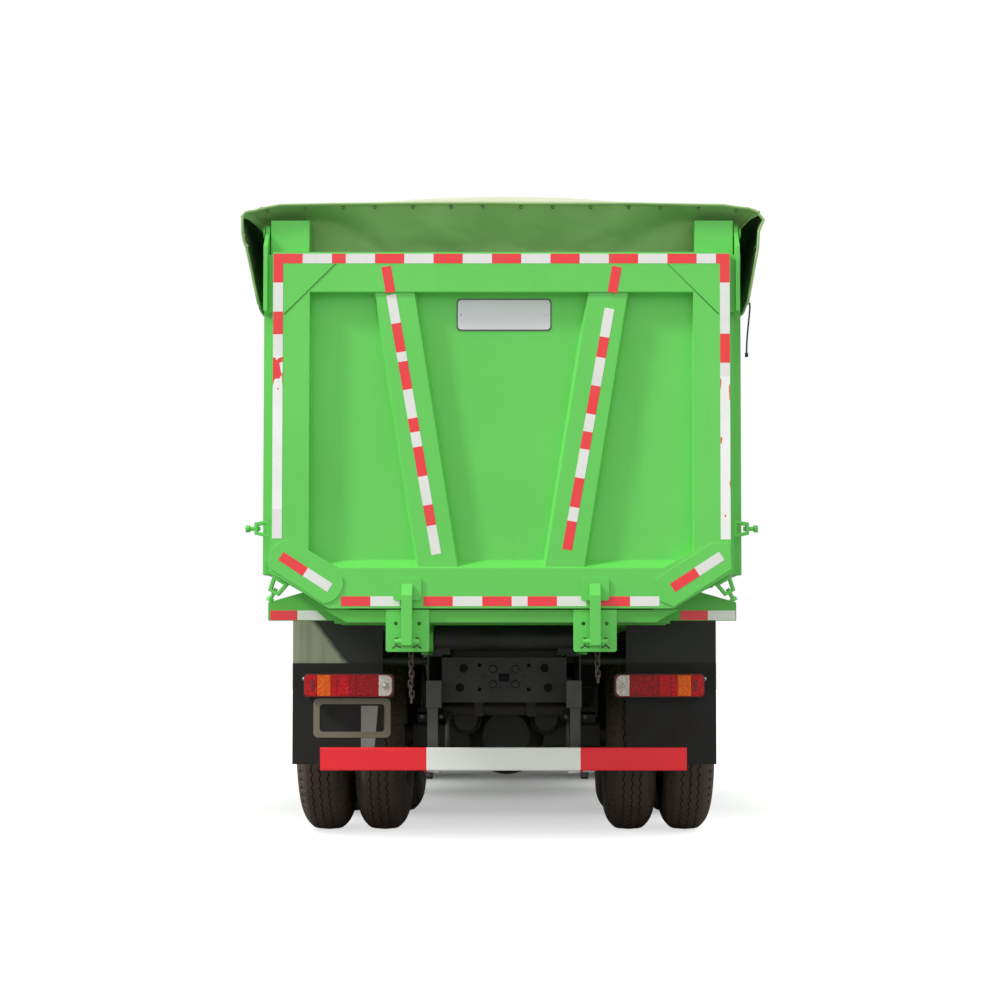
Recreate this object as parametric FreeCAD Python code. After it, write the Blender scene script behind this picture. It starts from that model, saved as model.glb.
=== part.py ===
import FreeCAD, Part
import math
import os

# Rear tipper truck, 6x4, cab over engine. Millimetres, +X right, +Y forward, +Z up.
# The origin is on the ground, in the middle of the truck's length and width.

# Axle spacing and overhangs
front_overhang = 1500.0
wheelbase = 3825.0
tandem_spacing = 1350.0
gate_overhang = 1680.0
latch_reach = 60.0
front_track = 2022.0

# Tyres and wheels
tyre_radius = 562.5
tyre_width = 292.0
tread_width = 180.0
crown_drop = 9.0
shoulder_drop = 52.0
shoulder_flare = 37.0
twin_spacing = 334.0
rim_radius = 257.0
rim_flange = 20.0
rim_half_width = 112.0
rim_sheet = 9.0
disc_thickness = 14.0
disc_hole_radius = 32.0
disc_hole_circle = 196.0
disc_holes = 8
drum_radius = 205.0
hub_radius = 92.0

# Chassis frame
frame_width = 850.0
rail_height = 290.0
rail_flange = 80.0
rail_sheet = 9.0
tyre_frame_gap = 157.0
frame_top = 1040.0
frame_end_inset = 810.0
frame_front_inset = 360.0
member_sheet = 12.0

# Front axle and steering
kingpin_inset = 131.0
kingpin_radius = 25.0
steer_arm = 200.0
spindle_radius = 44.0
axle_beam_width = 90.0

# Tipping body
body_width = 2500.0
rib_depth = 55.0
wall = 40.0
cab_body_gap = 755.0
floor_z = 1270.0
side_height = 1820.0
chamfer_width = 316.0
chamfer_height = 183.0
front_slope_run = 200.0
front_slope_rise = 430.0
rib_width = 120.0
rib_count = 8
pivot_inset = 850.0
pivot_z = 1133.0
pivot_pin_radius = 30.0
pivot_tube_radius = 69.5
beam_height = 158.7

# Tailgate
gate_side_inset = 22.0
gate_rise = 10.0
gate_depth = 100.0
gate_stile = 190.0
gate_rail = 206.0
gate_skin = 30.0
gate_rib_width = 200.0
gate_rib_top_x = 548.0
gate_rib_foot_x = 322.0
gate_rib_flank = 14.0
gate_pin_drop = 56.0
gate_pin_inset = 155.0
gate_pin_radius = 18.0
gate_arm_sheet = 21.0
post_outset = 4.0
post_width = 199.0
post_rise = 199.0
post_depth = 100.0

# Cover
cover_overhang = 110.0
cover_rise = 248.0
cover_camber = 162.0
cover_hem_camber = 36.0
cover_hem_run = 400.0
cover_skirt_drop = 498.0
cover_skirt_gap = 20.0
cover_sheet_thickness = 12.0
bow_thickness = 40.0
bow_count = 6

# Cab
cab_width = 2400.0
cab_length = 1940.0
cab_front_inset = 60.0
cab_wall = 45.0
cab_floor_z = 1260.0
cab_nose_z = 950.0
cab_roof_z = 2930.0
cab_corner_radius = 80.0
cab_pivot_inset = 300.0
cab_pivot_z = 1000.0
tunnel_half_width = 380.0
tunnel_top_z = 1480.0

# Hoist
hoist_inset = 307.5
hoist_base_z = 1160.0
hoist_eye_z = 2400.0
hoist_radius = 95.0
hoist_stage_step = 9.0
hoist_tube_length = 1160.0
hoist_stage_show = 10.0

# Clearances
seat_gap = 0.3
move_gap = 6.0
slide_gap = 0.5

length = front_overhang + wheelbase + tandem_spacing + gate_overhang + latch_reach
front_y = length / 2
front_axle_y = front_y - front_overhang
mid_axle_y = front_axle_y - wheelbase
rear_axle_y = mid_axle_y - tandem_spacing
gate_y = rear_axle_y - gate_overhang
frame_half = frame_width / 2
rear_track = frame_width + 2 * tyre_frame_gap + twin_spacing + tyre_width
kingpin_x = front_track / 2 - kingpin_inset
frame_bottom = frame_top - rail_height
frame_rear_y = gate_y + frame_end_inset
frame_front_y = front_y - frame_front_inset
pivot_y = gate_y + pivot_inset
axle_z = tyre_radius
cab_front_y = front_y - cab_front_inset
cab_rear_y = cab_front_y - cab_length
half_cab = cab_width / 2
body_front_y = cab_rear_y - cab_body_gap
tub_rear_y = gate_y + gate_depth + move_gap + post_depth
half_body = body_width / 2
half_tub = half_body - rib_depth
half_gate = half_tub - gate_side_inset
side_top_z = floor_z + side_height
gate_top_z = side_top_z + gate_rise
post_top_z = side_top_z + post_rise
post_outer_x = half_tub + post_outset
post_inner_x = post_outer_x - post_width
gate_pin_z = post_top_z - gate_pin_drop
cover_half_width = half_body + cover_overhang
cover_skirt_x = half_body + cover_skirt_gap
cover_corner_z = side_top_z + cover_rise
cover_crown_z = cover_corner_z + cover_camber
cover_skirt_z = cover_corner_z - cover_skirt_drop
hoist_y = cab_rear_y - hoist_inset
trunnion_y = (mid_axle_y + rear_axle_y) / 2

UP = FreeCAD.Vector(0, 0, 1)
RIGHT = FreeCAD.Vector(1, 0, 0)
AHEAD = FreeCAD.Vector(0, 1, 0)


def point(x, y, z):
    return FreeCAD.Vector(x, y, z)


def box(x0, x1, y0, y1, z0, z1):
    """Box between two corners."""
    low = point(min(x0, x1), min(y0, y1), min(z0, z1))
    return Part.makeBox(abs(x1 - x0), abs(y1 - y0), abs(z1 - z0), low)


def rod(radius, start, end):
    """Round bar between two points."""
    line = end - start
    return Part.makeCylinder(radius, line.Length, start, line)


def pipe(radius, bore, start, end):
    """Round tube between two points."""
    return rod(radius, start, end).cut(rod(bore, start, end))


def plate_x(outline, x0, x1):
    """Flat outline of (y, z) points, made solid from x0 to x1."""
    corners = [point(x0, y, z) for y, z in outline]
    face = Part.Face(Part.makePolygon(corners + corners[:1]))
    return face.extrude(point(x1 - x0, 0, 0))


def plate_y(outline, y0, y1):
    """Flat outline of (x, z) points, made solid from y0 to y1."""
    corners = [point(x, y0, z) for x, z in outline]
    face = Part.Face(Part.makePolygon(corners + corners[:1]))
    return face.extrude(point(0, y1 - y0, 0))


def plate_z(outline, z0, z1):
    """Flat outline of (x, y) points, made solid from z0 to z1."""
    corners = [point(x, y, z0) for x, y in outline]
    face = Part.Face(Part.makePolygon(corners + corners[:1]))
    return face.extrude(point(0, 0, z1 - z0))


def arc_edge(start, middle, end):
    return Part.Arc(start, middle, end).toShape()


def line_edge(start, end):
    return Part.LineSegment(start, end).toShape()


def turned(profile, centre_y, centre_z):
    """Ring turned about an axis along X. The profile holds (x, radius) points."""
    corners = [point(x, centre_y, centre_z + radius) for x, radius in profile]
    face = Part.Face(Part.makePolygon(corners + corners[:1]))
    return face.revolve(point(0, centre_y, centre_z), RIGHT, 360)


def mirrored(shape):
    """The same shape on the other side of the truck."""
    return shape.mirror(point(0, 0, 0), RIGHT)


def both_sides(shape):
    return [shape, mirrored(shape)]


def fused(shapes):
    whole = shapes[0]
    for other in shapes[1:]:
        whole = whole.fuse(other)
    return whole.removeSplitter()


def rounded(shape, radius, pick):
    """Fillet the edges that pick chooses."""
    edges = [edge for edge in shape.Edges if pick(edge)]
    return shape.makeFillet(radius, edges)


def along(edge, axis):
    """True if a straight edge runs along the axis."""
    if len(edge.Vertexes) < 2:
        return False
    line = edge.Vertexes[1].Point - edge.Vertexes[0].Point
    return abs(abs(line.dot(axis)) - line.Length) < 0.001


def save(node, shapes):
    """Write one node. Several solids go into one compound."""
    solids = []
    for shape in shapes:
        solids += shape.Solids
    whole = solids[0] if len(solids) == 1 else Part.makeCompound(solids)
    whole.exportStep("parts/" + node + ".step")


# Wheels

def tyre(centre_x, axle_y):
    """Tyre with round shoulders and bulging side walls."""
    bead = rim_half_width - rim_sheet - 2
    bead_r = rim_radius + seat_gap
    half = tyre_width / 2
    tread = tread_width / 2
    heel_r = rim_radius + rim_flange + 5
    bulge_r = 0.45 * tyre_radius + 0.55 * heel_r
    shoulder_r = tyre_radius - crown_drop
    side_r = shoulder_r - shoulder_drop
    side = tread + shoulder_flare

    def corner(x, radius):
        return point(centre_x + x, axle_y, axle_z + radius)

    outline = [
        line_edge(corner(-bead, bead_r), corner(bead, bead_r)),
        line_edge(corner(bead, bead_r), corner(bead, heel_r)),
        arc_edge(corner(bead, heel_r), corner(half, bulge_r), corner(side, side_r)),
        line_edge(corner(side, side_r), corner(tread, shoulder_r)),
        arc_edge(corner(tread, shoulder_r), corner(0, tyre_radius), corner(-tread, shoulder_r)),
        line_edge(corner(-tread, shoulder_r), corner(-side, side_r)),
        arc_edge(corner(-side, side_r), corner(-half, bulge_r), corner(-bead, heel_r)),
        line_edge(corner(-bead, heel_r), corner(-bead, bead_r)),
    ]
    face = Part.Face(Part.Wire(outline))
    return face.revolve(point(0, axle_y, axle_z), RIGHT, 360)


def rim(centre_x, axle_y, disc_x):
    """Rim barrel with its flanges, and the disc that reaches out to disc_x."""
    side = 1 if disc_x > centre_x else -1
    outer = rim_radius
    inner = rim_radius - rim_sheet
    lip = rim_radius + rim_flange
    edge = rim_half_width
    barrel = turned([
        (centre_x - edge, inner), (centre_x - edge, lip),
        (centre_x - edge + rim_sheet, lip), (centre_x - edge + rim_sheet, outer),
        (centre_x + edge - rim_sheet, outer), (centre_x + edge - rim_sheet, lip),
        (centre_x + edge, lip), (centre_x + edge, inner),
    ], axle_y, axle_z)
    root_x = centre_x + side * (edge - 50)
    thick = side * disc_thickness
    disc = turned([
        (disc_x, hub_radius + 4), (disc_x, disc_hole_circle - 50),
        (root_x, inner + 1), (root_x - thick, inner + 1),
        (disc_x - thick, disc_hole_circle - 58), (disc_x - thick, hub_radius + 4),
    ], axle_y, axle_z)
    for index in range(disc_holes):
        turn = 2 * math.pi * index / disc_holes
        hole_y = axle_y + disc_hole_circle * math.cos(turn)
        hole_z = axle_z + disc_hole_circle * math.sin(turn)
        start = point(disc_x - 140, hole_y, hole_z)
        disc = disc.cut(Part.makeCylinder(disc_hole_radius, 280, start, RIGHT))
    return barrel.fuse(disc)


def hub(inner_x, disc_x, outer_x, axle_y, bore, drum_x0, drum_x1):
    """Hub with the brake drum behind it, bored for the spindle."""
    side = 1 if outer_x > inner_x else -1
    flange = side * 22
    return turned([
        (inner_x, bore), (inner_x, hub_radius - 10),
        (drum_x1 - flange, hub_radius - 10), (drum_x1 - flange, drum_radius - 14),
        (drum_x0, drum_radius - 14), (drum_x0, drum_radius),
        (drum_x1, drum_radius), (disc_x - side * disc_thickness, hub_radius + 46),
        (disc_x - side * disc_thickness, hub_radius),
        (outer_x - side * 12, hub_radius), (outer_x, hub_radius - 14),
        (outer_x, bore / 3), (outer_x - side * 24, bore / 3), (outer_x - side * 24, bore),
    ], axle_y, axle_z)


def front_wheel(side):
    """Tyre and rim of one front wheel."""
    tyre_x = side * front_track / 2
    disc_x = tyre_x + side * twin_spacing / 2
    ring = tyre(tyre_x, front_axle_y)
    wheel_hub = hub(disc_x - side * 170, disc_x, disc_x + side * 62, front_axle_y,
                    spindle_radius + seat_gap, disc_x - side * 232, disc_x - side * 60)
    wheel = fused([rim(tyre_x, front_axle_y, disc_x), wheel_hub])
    return ring, wheel


def twin_wheel(side, axle_y):
    """Two tyres and the two rims bolted back to back."""
    middle = side * rear_track / 2
    offset = twin_spacing / 2
    tyres = [tyre(middle - side * offset, axle_y), tyre(middle + side * offset, axle_y)]
    inner = rim(middle - side * offset, axle_y, middle)
    outer = rim(middle + side * offset, axle_y, middle)
    wheel_hub = hub(middle - side * 240, middle, middle + side * 190, axle_y,
                    spindle_radius + 24 + seat_gap, middle - side * 250, middle - side * 70)
    return tyres, fused([inner, outer, wheel_hub])


# Chassis

front_guard_radius = 648.0
guard_sheet = 8.0
engine_length = 1100.0
bell_length = 180.0
gearbox_length = 650.0
engine_rear_y = front_axle_y - engine_length / 2
gearbox_rear_y = engine_rear_y - bell_length - gearbox_length
member_radius = 45.0
member_drop = 90.0
member_count = 3


def frame_rails():
    """Two channel rails with their cross members."""
    outer = frame_half
    section = [
        (outer, frame_bottom), (outer, frame_top),
        (outer - rail_flange, frame_top), (outer - rail_flange, frame_top - rail_sheet),
        (outer - rail_sheet, frame_top - rail_sheet), (outer - rail_sheet, frame_bottom + rail_sheet),
        (outer - rail_flange, frame_bottom + rail_sheet), (outer - rail_flange, frame_bottom),
    ]
    rail = plate_y(section, frame_rear_y, frame_front_y)
    inside = outer - rail_sheet
    middle_z = frame_top - member_drop
    span = gearbox_rear_y - 4 * member_radius - mid_axle_y
    places = [mid_axle_y + span * index / member_count for index in range(1, member_count + 1)]
    places += [trunnion_y, frame_front_y - 60]
    members = [rod(member_radius, point(-inside, y, middle_z), point(inside, y, middle_z)) for y in places]
    return fused(both_sides(rail) + members)


coupling_half_x = 137.0
coupling_half_z = 67.0
coupling_z = 914.0
coupling_hole_radius = 11.0
coupling_slot_half = 30.0
lightening_radius = 24.0
lightening_upper = (224.0, 50.0)
lightening_lower = (245.0, -57.0)


def rear_crossmember():
    """Pressed plate across the frame's end with coupling holes and lightening holes."""
    half = frame_half - rail_flange
    low = frame_bottom + 25
    high = frame_top - 16
    front = frame_rear_y + member_sheet
    plate = box(-half, half, frame_rear_y, front, low, high)
    for edge_z in (low, high - member_sheet):
        plate = plate.fuse(box(-half, half, frame_rear_y, frame_rear_y + 90, edge_z, edge_z + member_sheet))
    bosses = []
    holes = []
    for side in (-1, 1):
        for reach, rise in (lightening_upper, lightening_lower):
            bosses.append((side * reach, coupling_z + rise, lightening_radius))
        for up in (-1, 1):
            holes.append((side * coupling_half_x, coupling_z + up * coupling_half_z, coupling_hole_radius))
    for x, z, radius in bosses:
        ring = rod(radius + 9, point(x, frame_rear_y - 5, z), point(x, frame_rear_y, z))
        plate = plate.fuse(ring)
    for x, z, radius in bosses + holes:
        plate = plate.cut(rod(radius, point(x, frame_rear_y - 10, z), point(x, front + 10, z)))
    slot = box(-coupling_slot_half, coupling_slot_half, frame_rear_y - 5, front + 5,
               coupling_z - coupling_slot_half + 6, coupling_z + coupling_slot_half - 9)
    return plate.cut(slot)


beam_eye = 55.0
beam_low = 440.0
beam_high = 530.0
beam_drop_x = kingpin_x - 180


def front_axle():
    """Forged beam, dropped between the kingpins."""
    half = axle_beam_width / 2
    neck_x = kingpin_x - 60
    low = axle_z - beam_eye
    high = axle_z + beam_eye
    outline = [
        (-kingpin_x, low), (-neck_x, low), (-beam_drop_x, beam_low), (beam_drop_x, beam_low),
        (neck_x, low), (kingpin_x, low), (kingpin_x, high), (neck_x, high),
        (beam_drop_x - 10, beam_high), (10 - beam_drop_x, beam_high), (-neck_x, high), (-kingpin_x, high),
    ]
    beam = plate_y(outline, front_axle_y - half, front_axle_y + half)
    web = axle_beam_width / 5
    for y0, y1 in ((-half - 1, -web), (web, half + 1)):
        groove = box(-beam_drop_x + 40, beam_drop_x - 40, front_axle_y + y0, front_axle_y + y1,
                     beam_low + web, beam_high - web)
        beam = beam.cut(groove)
    shapes = [beam]
    for side in (-1, 1):
        base = point(side * kingpin_x, front_axle_y, low)
        shapes.append(Part.makeCylinder(half, 2 * beam_eye, base, UP))
    whole = fused(shapes)
    for side in (-1, 1):
        base = point(side * kingpin_x, front_axle_y, axle_z - 2 * beam_eye)
        whole = whole.cut(Part.makeCylinder(kingpin_radius + seat_gap, 4 * beam_eye, base, UP))
    return whole


housing_half = 75.0
bowl_radius = 235.0
bowl_rear = 190.0
nose_radius = 95.0
nose_rise = 60.0
nose_reach = 330.0
drive_spindle_radius = 68.0
spring_tyre_gap = 47.0
rear_spring_inner = frame_half + 20
rear_spring_outer = frame_half + tyre_frame_gap - spring_tyre_gap
rear_pad_top = 686.6


def drive_axle(axle_y):
    """Axle housing with its round differential bowl and the two spindles."""
    half = housing_half
    reach = rear_track / 2 - twin_spacing
    housing = box(-reach, reach, axle_y - half, axle_y + half, axle_z - half, axle_z + half)
    housing = rounded(housing, half / 3, lambda edge: along(edge, RIGHT))
    bowl = Part.makeSphere(bowl_radius, point(0, axle_y, axle_z))
    bowl = bowl.common(box(-bowl_radius, bowl_radius, axle_y - bowl_rear, axle_y + bowl_radius,
                           axle_z - bowl_radius, axle_z + bowl_radius))
    nose = rod(nose_radius, point(0, axle_y + bowl_rear - 10, axle_z + nose_rise),
               point(0, axle_y + nose_reach, axle_z + nose_rise))
    end = rear_track / 2 + 135
    tube = rod(drive_spindle_radius, point(-end, axle_y, axle_z), point(end, axle_y, axle_z))
    pads = both_sides(box(rear_spring_inner, rear_spring_outer, axle_y - 55, axle_y + 55,
                          axle_z + half - 5, rear_pad_top))
    return fused([housing, bowl, nose, tube] + pads)


front_spring_half = 800.0
front_spring_rise = 130.0
front_leaf = 21.0
rear_spring_half = 700.0
rear_spring_rise = 60.0
rear_leaf = 27.0
rear_spring_z = 640.0
trunnion_z = 485.0
trunnion_radius = 50.0


def leaf_springs():
    """Front leaf packs under the rails, rear packs over the trunnion beside the rails."""
    shapes = []
    spring_x = frame_half - rail_flange / 2
    width = rail_flange
    for side in (-1, 1):
        x0 = side * spring_x - width / 2
        x1 = side * spring_x + width / 2
        pack = []
        for leaf in range(3):
            half = front_spring_half - 190.0 * leaf
            rise = front_spring_rise * (half / front_spring_half) ** 2
            base = beam_high + (front_leaf - 1) * (2 - leaf)
            pack.append(leaf_strip(front_axle_y, half, base, rise, front_leaf, x0, x1))
        hangers = []
        for end in (-1, 1):
            y = front_axle_y + end * (front_spring_half - 30)
            low = beam_high + 2 * front_leaf + front_spring_rise + 13
            hangers.append(box(x0 + 5, x1 - 5, y - 30, y + 30, low, frame_bottom))
        shapes.append(fused(pack + hangers))
    for side in (-1, 1):
        x0 = side * rear_spring_inner
        x1 = side * rear_spring_outer
        pack = []
        for leaf in range(4):
            half = rear_spring_half - 120.0 * leaf
            rise = rear_spring_rise * (half / rear_spring_half) ** 2
            pack.append(leaf_strip(trunnion_y, half, rear_spring_z - (rear_leaf - 1) * leaf, rise,
                                   rear_leaf, x0, x1))
        seat = box(x0, x1, trunnion_y - 110, trunnion_y + 110, trunnion_z - 55, rear_spring_z - 70)
        shapes.append(fused(pack + [seat]))
    shaft = rod(trunnion_radius, point(-rear_spring_inner, trunnion_y, trunnion_z),
                point(rear_spring_inner, trunnion_y, trunnion_z))
    for side in (-1, 1):
        leg = box(side * (frame_half - 60), side * (frame_half + 12), trunnion_y - 120,
                  trunnion_y + 120, trunnion_z - 60, frame_bottom)
        shaft = shaft.fuse(leg)
    shapes.append(shaft)
    return shapes


def leaf_strip(centre_y, half, base_z, rise, thickness, x0, x1):
    """One leaf: a strip bent to an arc that is lowest at its middle."""
    low = [point(x0, centre_y - half, base_z + rise), point(x0, centre_y, base_z),
           point(x0, centre_y + half, base_z + rise)]
    high = [corner + UP * thickness for corner in low]
    wire = Part.Wire([
        arc_edge(low[0], low[1], low[2]), line_edge(low[2], high[2]),
        arc_edge(high[2], high[1], high[0]), line_edge(high[0], low[0]),
    ])
    return Part.Face(wire).extrude(point(x1 - x0, 0, 0))


engine_half = 300.0
engine_low = 620.0
engine_high = 1400.0
bell_radius = 190.0
bell_z = 850.0
gearbox_low = 690.0
gearbox_high = 960.0
radiator_half = 335.0
radiator_depth = 80.0
radiator_inset = 347.5
output_z = 820.0


def engine():
    """Engine as one plain block, with the gearbox and the radiator."""
    front = engine_rear_y + engine_length
    block = box(-engine_half, engine_half, engine_rear_y, front, engine_low, engine_high)
    bell_y = engine_rear_y - bell_length
    bell = rod(bell_radius, point(0, engine_rear_y, bell_z), point(0, bell_y, bell_z))
    case = box(-bell_radius, bell_radius, gearbox_rear_y, bell_y, gearbox_low, gearbox_high)
    case = rounded(case, 60.0, lambda edge: along(edge, AHEAD))
    rear = frame_front_y - radiator_inset
    radiator = box(-radiator_half, radiator_half, rear, rear + radiator_depth, engine_low + 40, engine_high)
    reach = frame_half - rail_flange
    foot = box(-reach, reach, rear + 10, rear + radiator_depth - 10, frame_bottom - 10, frame_bottom + 10)
    return [fused([block, bell, case]), fused([radiator, foot])]


def propeller_shafts():
    """Shaft from the gearbox to the middle axle and between the two drive axles."""
    level = axle_z + nose_rise
    first = rod(55.0, point(0, gearbox_rear_y - move_gap, output_z),
                point(0, mid_axle_y + nose_reach + move_gap, level))
    link = rod(50.0, point(0, mid_axle_y - bowl_rear, level), point(0, rear_axle_y + nose_reach, level))
    return [first, link]


bay_y = (front_axle_y + mid_axle_y) / 2
equipment_inner = frame_half + 45
tank_length = 1050.0
tank_outer = 1130.0
tank_low = 560.0
tank_high = 1060.0
tank_corner = 70.0
tank_centre_y = bay_y - 170.0


def fuel_tank():
    """Tank on the left side with its rounded long edges and two hangers."""
    half = tank_length / 2
    tank = box(-tank_outer, -equipment_inner, tank_centre_y - half, tank_centre_y + half, tank_low, tank_high)
    tank = rounded(tank, tank_corner, lambda edge: along(edge, AHEAD))
    hangers = []
    for end in (-1, 1):
        y = tank_centre_y + end * (half - 200)
        hangers.append(box(-equipment_inner - 5, -frame_half, y - 40, y + 40, frame_bottom + 10,
                           frame_top - 20))
    cap = rod(55.0, point(-tank_outer + 130, tank_centre_y + half - 250, tank_high - 10),
              point(-tank_outer + 130, tank_centre_y + half - 250, tank_high + 35))
    return fused([tank, cap] + hangers)


guard_front_reach = 760.0
bay_gap = 60.0
silencer_length = 240.0
air_tank_length = 640.0
air_tank_radius = 105.0
air_tank_levels = (700.0, 930.0)
battery_length = 510.0
battery_low = 600.0
battery_high = 1050.0
equipment_outer = 1120.0
silencer_rear_y = mid_axle_y + guard_front_reach + 10 + bay_gap
air_tank_rear_y = silencer_rear_y + silencer_length + bay_gap
battery_rear_y = air_tank_rear_y + air_tank_length + 1.5 * bay_gap


def side_equipment():
    """Battery box and two air tanks on the right side."""
    y0 = battery_rear_y
    y1 = battery_rear_y + battery_length
    battery = box(equipment_inner, equipment_outer, y0, y1, battery_low, battery_high)
    battery = rounded(battery, 25.0, lambda edge: along(edge, UP))
    holder = box(frame_half, equipment_inner, y0 + 80, y1 - 80, frame_bottom + 30, frame_top - 20)
    shapes = [fused([battery, holder])]
    tank_x = frame_half + air_tank_radius + 90
    y0 = air_tank_rear_y
    y1 = air_tank_rear_y + air_tank_length
    middle = (y0 + y1) / 2
    holder = box(frame_half, tank_x - 60, middle - 50, middle + 50, air_tank_levels[0] - 40, frame_top - 40)
    tanks = []
    for level in air_tank_levels:
        tank = rod(air_tank_radius, point(tank_x, y0, level), point(tank_x, y1, level))
        tanks.append(rounded(tank, 35.0, lambda edge: len(edge.Vertexes) == 1))
    shapes.append(fused([holder] + tanks))
    return shapes


def exhaust():
    """Silencer box beside the right rail."""
    y0 = silencer_rear_y
    y1 = silencer_rear_y + silencer_length
    can = box(equipment_inner + 10, equipment_outer - 20, y0, y1, tank_low, frame_top - 40)
    can = rounded(can, 60.0, lambda edge: along(edge, AHEAD))
    holder = box(frame_half, equipment_inner + 10, y0 + 60, y1 - 60, frame_bottom + 50, frame_top - 40)
    return fused([can, holder])


bumper_depth = 50.0
bumper_wrap = 330.0
bumper_sweep = 40.0
bumper_flat_x = 500.0


def bumper_outline(inset):
    """Plan of the bumper's face: gently swept, round at its ends, moved inward by inset."""
    half = half_cab - inset
    front = front_y - inset
    turn = 150.0 - inset
    back = front_y - bumper_wrap
    corner_y = front - bumper_sweep
    bend = turn * (1 - math.sqrt(0.5))
    edges = []
    for side in (-1, 1):
        flat = point(side * bumper_flat_x, front, bumper_low)
        start = point(side * (half - turn), corner_y, bumper_low)
        middle = point(side * (half - bend), corner_y - bend, bumper_low)
        end = point(side * half, corner_y - turn, bumper_low)
        edges += [line_edge(flat, start), arc_edge(start, middle, end),
                  line_edge(end, point(side * half, back, bumper_low))]
    edges.append(line_edge(point(-bumper_flat_x, front, bumper_low), point(bumper_flat_x, front, bumper_low)))
    edges.append(line_edge(point(-half, back, bumper_low), point(half, back, bumper_low)))
    return Part.Face(Part.Wire(Part.__sortEdges__(edges)))


lamp_x0 = 780.0
lamp_x1 = 1060.0
lamp_z0 = 560.0
lamp_z1 = 720.0
lamp_front_inset = 15.0
lamp_rear_inset = 110.0
bumper_low = 400.0
bumper_high = 780.0
fog_radius = 45.0
fog_x = 690.0
tow_x = 300.0
tow_z = 600.0
tow_radius = 28.0
intake_half = 420.0
intake_low = 450.0
intake_high = 530.0
bumper_arm_x = 350.0
bumper_arm_width = 70.0


def front_bumper():
    """Steel bumper with pockets for the lamps, an air intake and a towing eye's bore."""
    high = point(0, 0, bumper_high - bumper_low)
    shell = bumper_outline(0).extrude(high).cut(bumper_outline(bumper_depth).extrude(high))
    shell = shell.cut(box(-half_cab + bumper_depth, half_cab - bumper_depth, front_y - 2 * bumper_wrap,
                          front_y - bumper_wrap + bumper_depth, bumper_low - 5, bumper_high + 5))
    for side in (-1, 1):
        pocket = box(side * lamp_x0, side * lamp_x1, front_y - 140, front_y + 10, lamp_z0, lamp_z1)
        fog = rod(fog_radius, point(side * fog_x, front_y - 2 * bumper_depth, tow_z),
                  point(side * fog_x, front_y + 10, tow_z))
        shell = shell.cut(pocket).cut(fog)
    shell = shell.cut(box(-intake_half, intake_half, front_y - 2 * bumper_depth, front_y + 10, intake_low,
                          intake_high))
    arms = []
    outer = bumper_arm_x + bumper_arm_width
    for side in (-1, 1):
        x0 = side * bumper_arm_x
        arms.append(box(x0, side * outer, frame_front_y, front_y - bumper_depth, 640, 770))
        arms.append(box(x0, side * outer, frame_front_y, frame_front_y + 25, 640, 930))
        arms.append(box(side * outer, side * (outer + 30), front_y - 200, front_y - bumper_depth,
                        lamp_z0, lamp_z1))
    tow_boss = rod(tow_radius + 30, point(tow_x, front_y - 3 * bumper_depth, tow_z),
                   point(tow_x, front_y - bumper_depth, tow_z))
    bore = rod(tow_radius, point(tow_x, front_y - 4 * bumper_depth, tow_z), point(tow_x, front_y + 10, tow_z))
    return fused([shell, tow_boss] + arms).cut(bore)


def headlamps():
    """Lamp blocks that fill the bumper's pockets."""
    shapes = []
    for side in (-1, 1):
        x0 = side * (lamp_x0 + seat_gap)
        x1 = side * (lamp_x1 - seat_gap)
        low = lamp_z0 + seat_gap
        high = lamp_z1 - seat_gap
        rear = front_y - lamp_rear_inset
        lamp = box(x0, x1, rear, front_y - lamp_front_inset, low, high)
        lamp = rounded(lamp, 20.0, lambda edge: along(edge, AHEAD))
        back = box(x0, x1, rear - 2, rear + 2, low, high)
        shapes.append(fused([lamp, back]))
    return shapes


step_rear_gap = 44.0
step_front_inset = 385.0
step_depth = 320.0
step_outer = half_cab - 20
step_inner = step_outer - step_depth
step_low = 420.0
step_high = cab_floor_z - 25
step_wall = 30.0
step_openings = 3


def entry_steps():
    """Step box with three treads below each door, hung from the rail."""
    y0 = front_axle_y + front_guard_radius + guard_sheet + step_rear_gap
    y1 = front_y - step_front_inset
    pitch = (step_high - step_low - step_wall) / step_openings
    shapes = []
    for side in (-1, 1):
        body = box(side * step_inner, side * step_outer, y0, y1, step_low, step_high)
        body = rounded(body, 40.0, lambda edge: along(edge, UP) and abs(edge.Vertexes[0].X) > step_outer - 1)
        for index in range(step_openings):
            low = step_low + step_wall + pitch * index
            body = body.cut(box(side * (step_inner + 40), side * (step_outer + 10), y0 + step_wall,
                                y1 - step_wall, low, low + pitch - step_wall))
        arm = box(side * frame_half, side * step_inner, y0 + 150, y0 + 230, frame_top - 140, frame_top - 40)
        shapes.append(fused([body, arm]))
    return shapes


def ring_guard(radius, thickness, x0, x1, centre_y, centre_z, from_deg, to_deg):
    """Curved guard sheet: part of a ring about an axis along X."""
    ring = pipe(radius + thickness, radius, point(min(x0, x1), centre_y, centre_z),
                point(max(x0, x1), centre_y, centre_z))
    reach = 3 * radius
    angles = (math.radians(from_deg), math.radians(to_deg))
    middle = (angles[0] + angles[1]) / 2
    outline = [(centre_y, centre_z)]
    for turn in (angles[0], (angles[0] + middle) / 2, middle, (angles[1] + middle) / 2, angles[1]):
        outline.append((centre_y + reach * math.cos(turn), centre_z + reach * math.sin(turn)))
    wedge = plate_x(outline, min(x0, x1), max(x0, x1))
    return ring.common(wedge)


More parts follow.
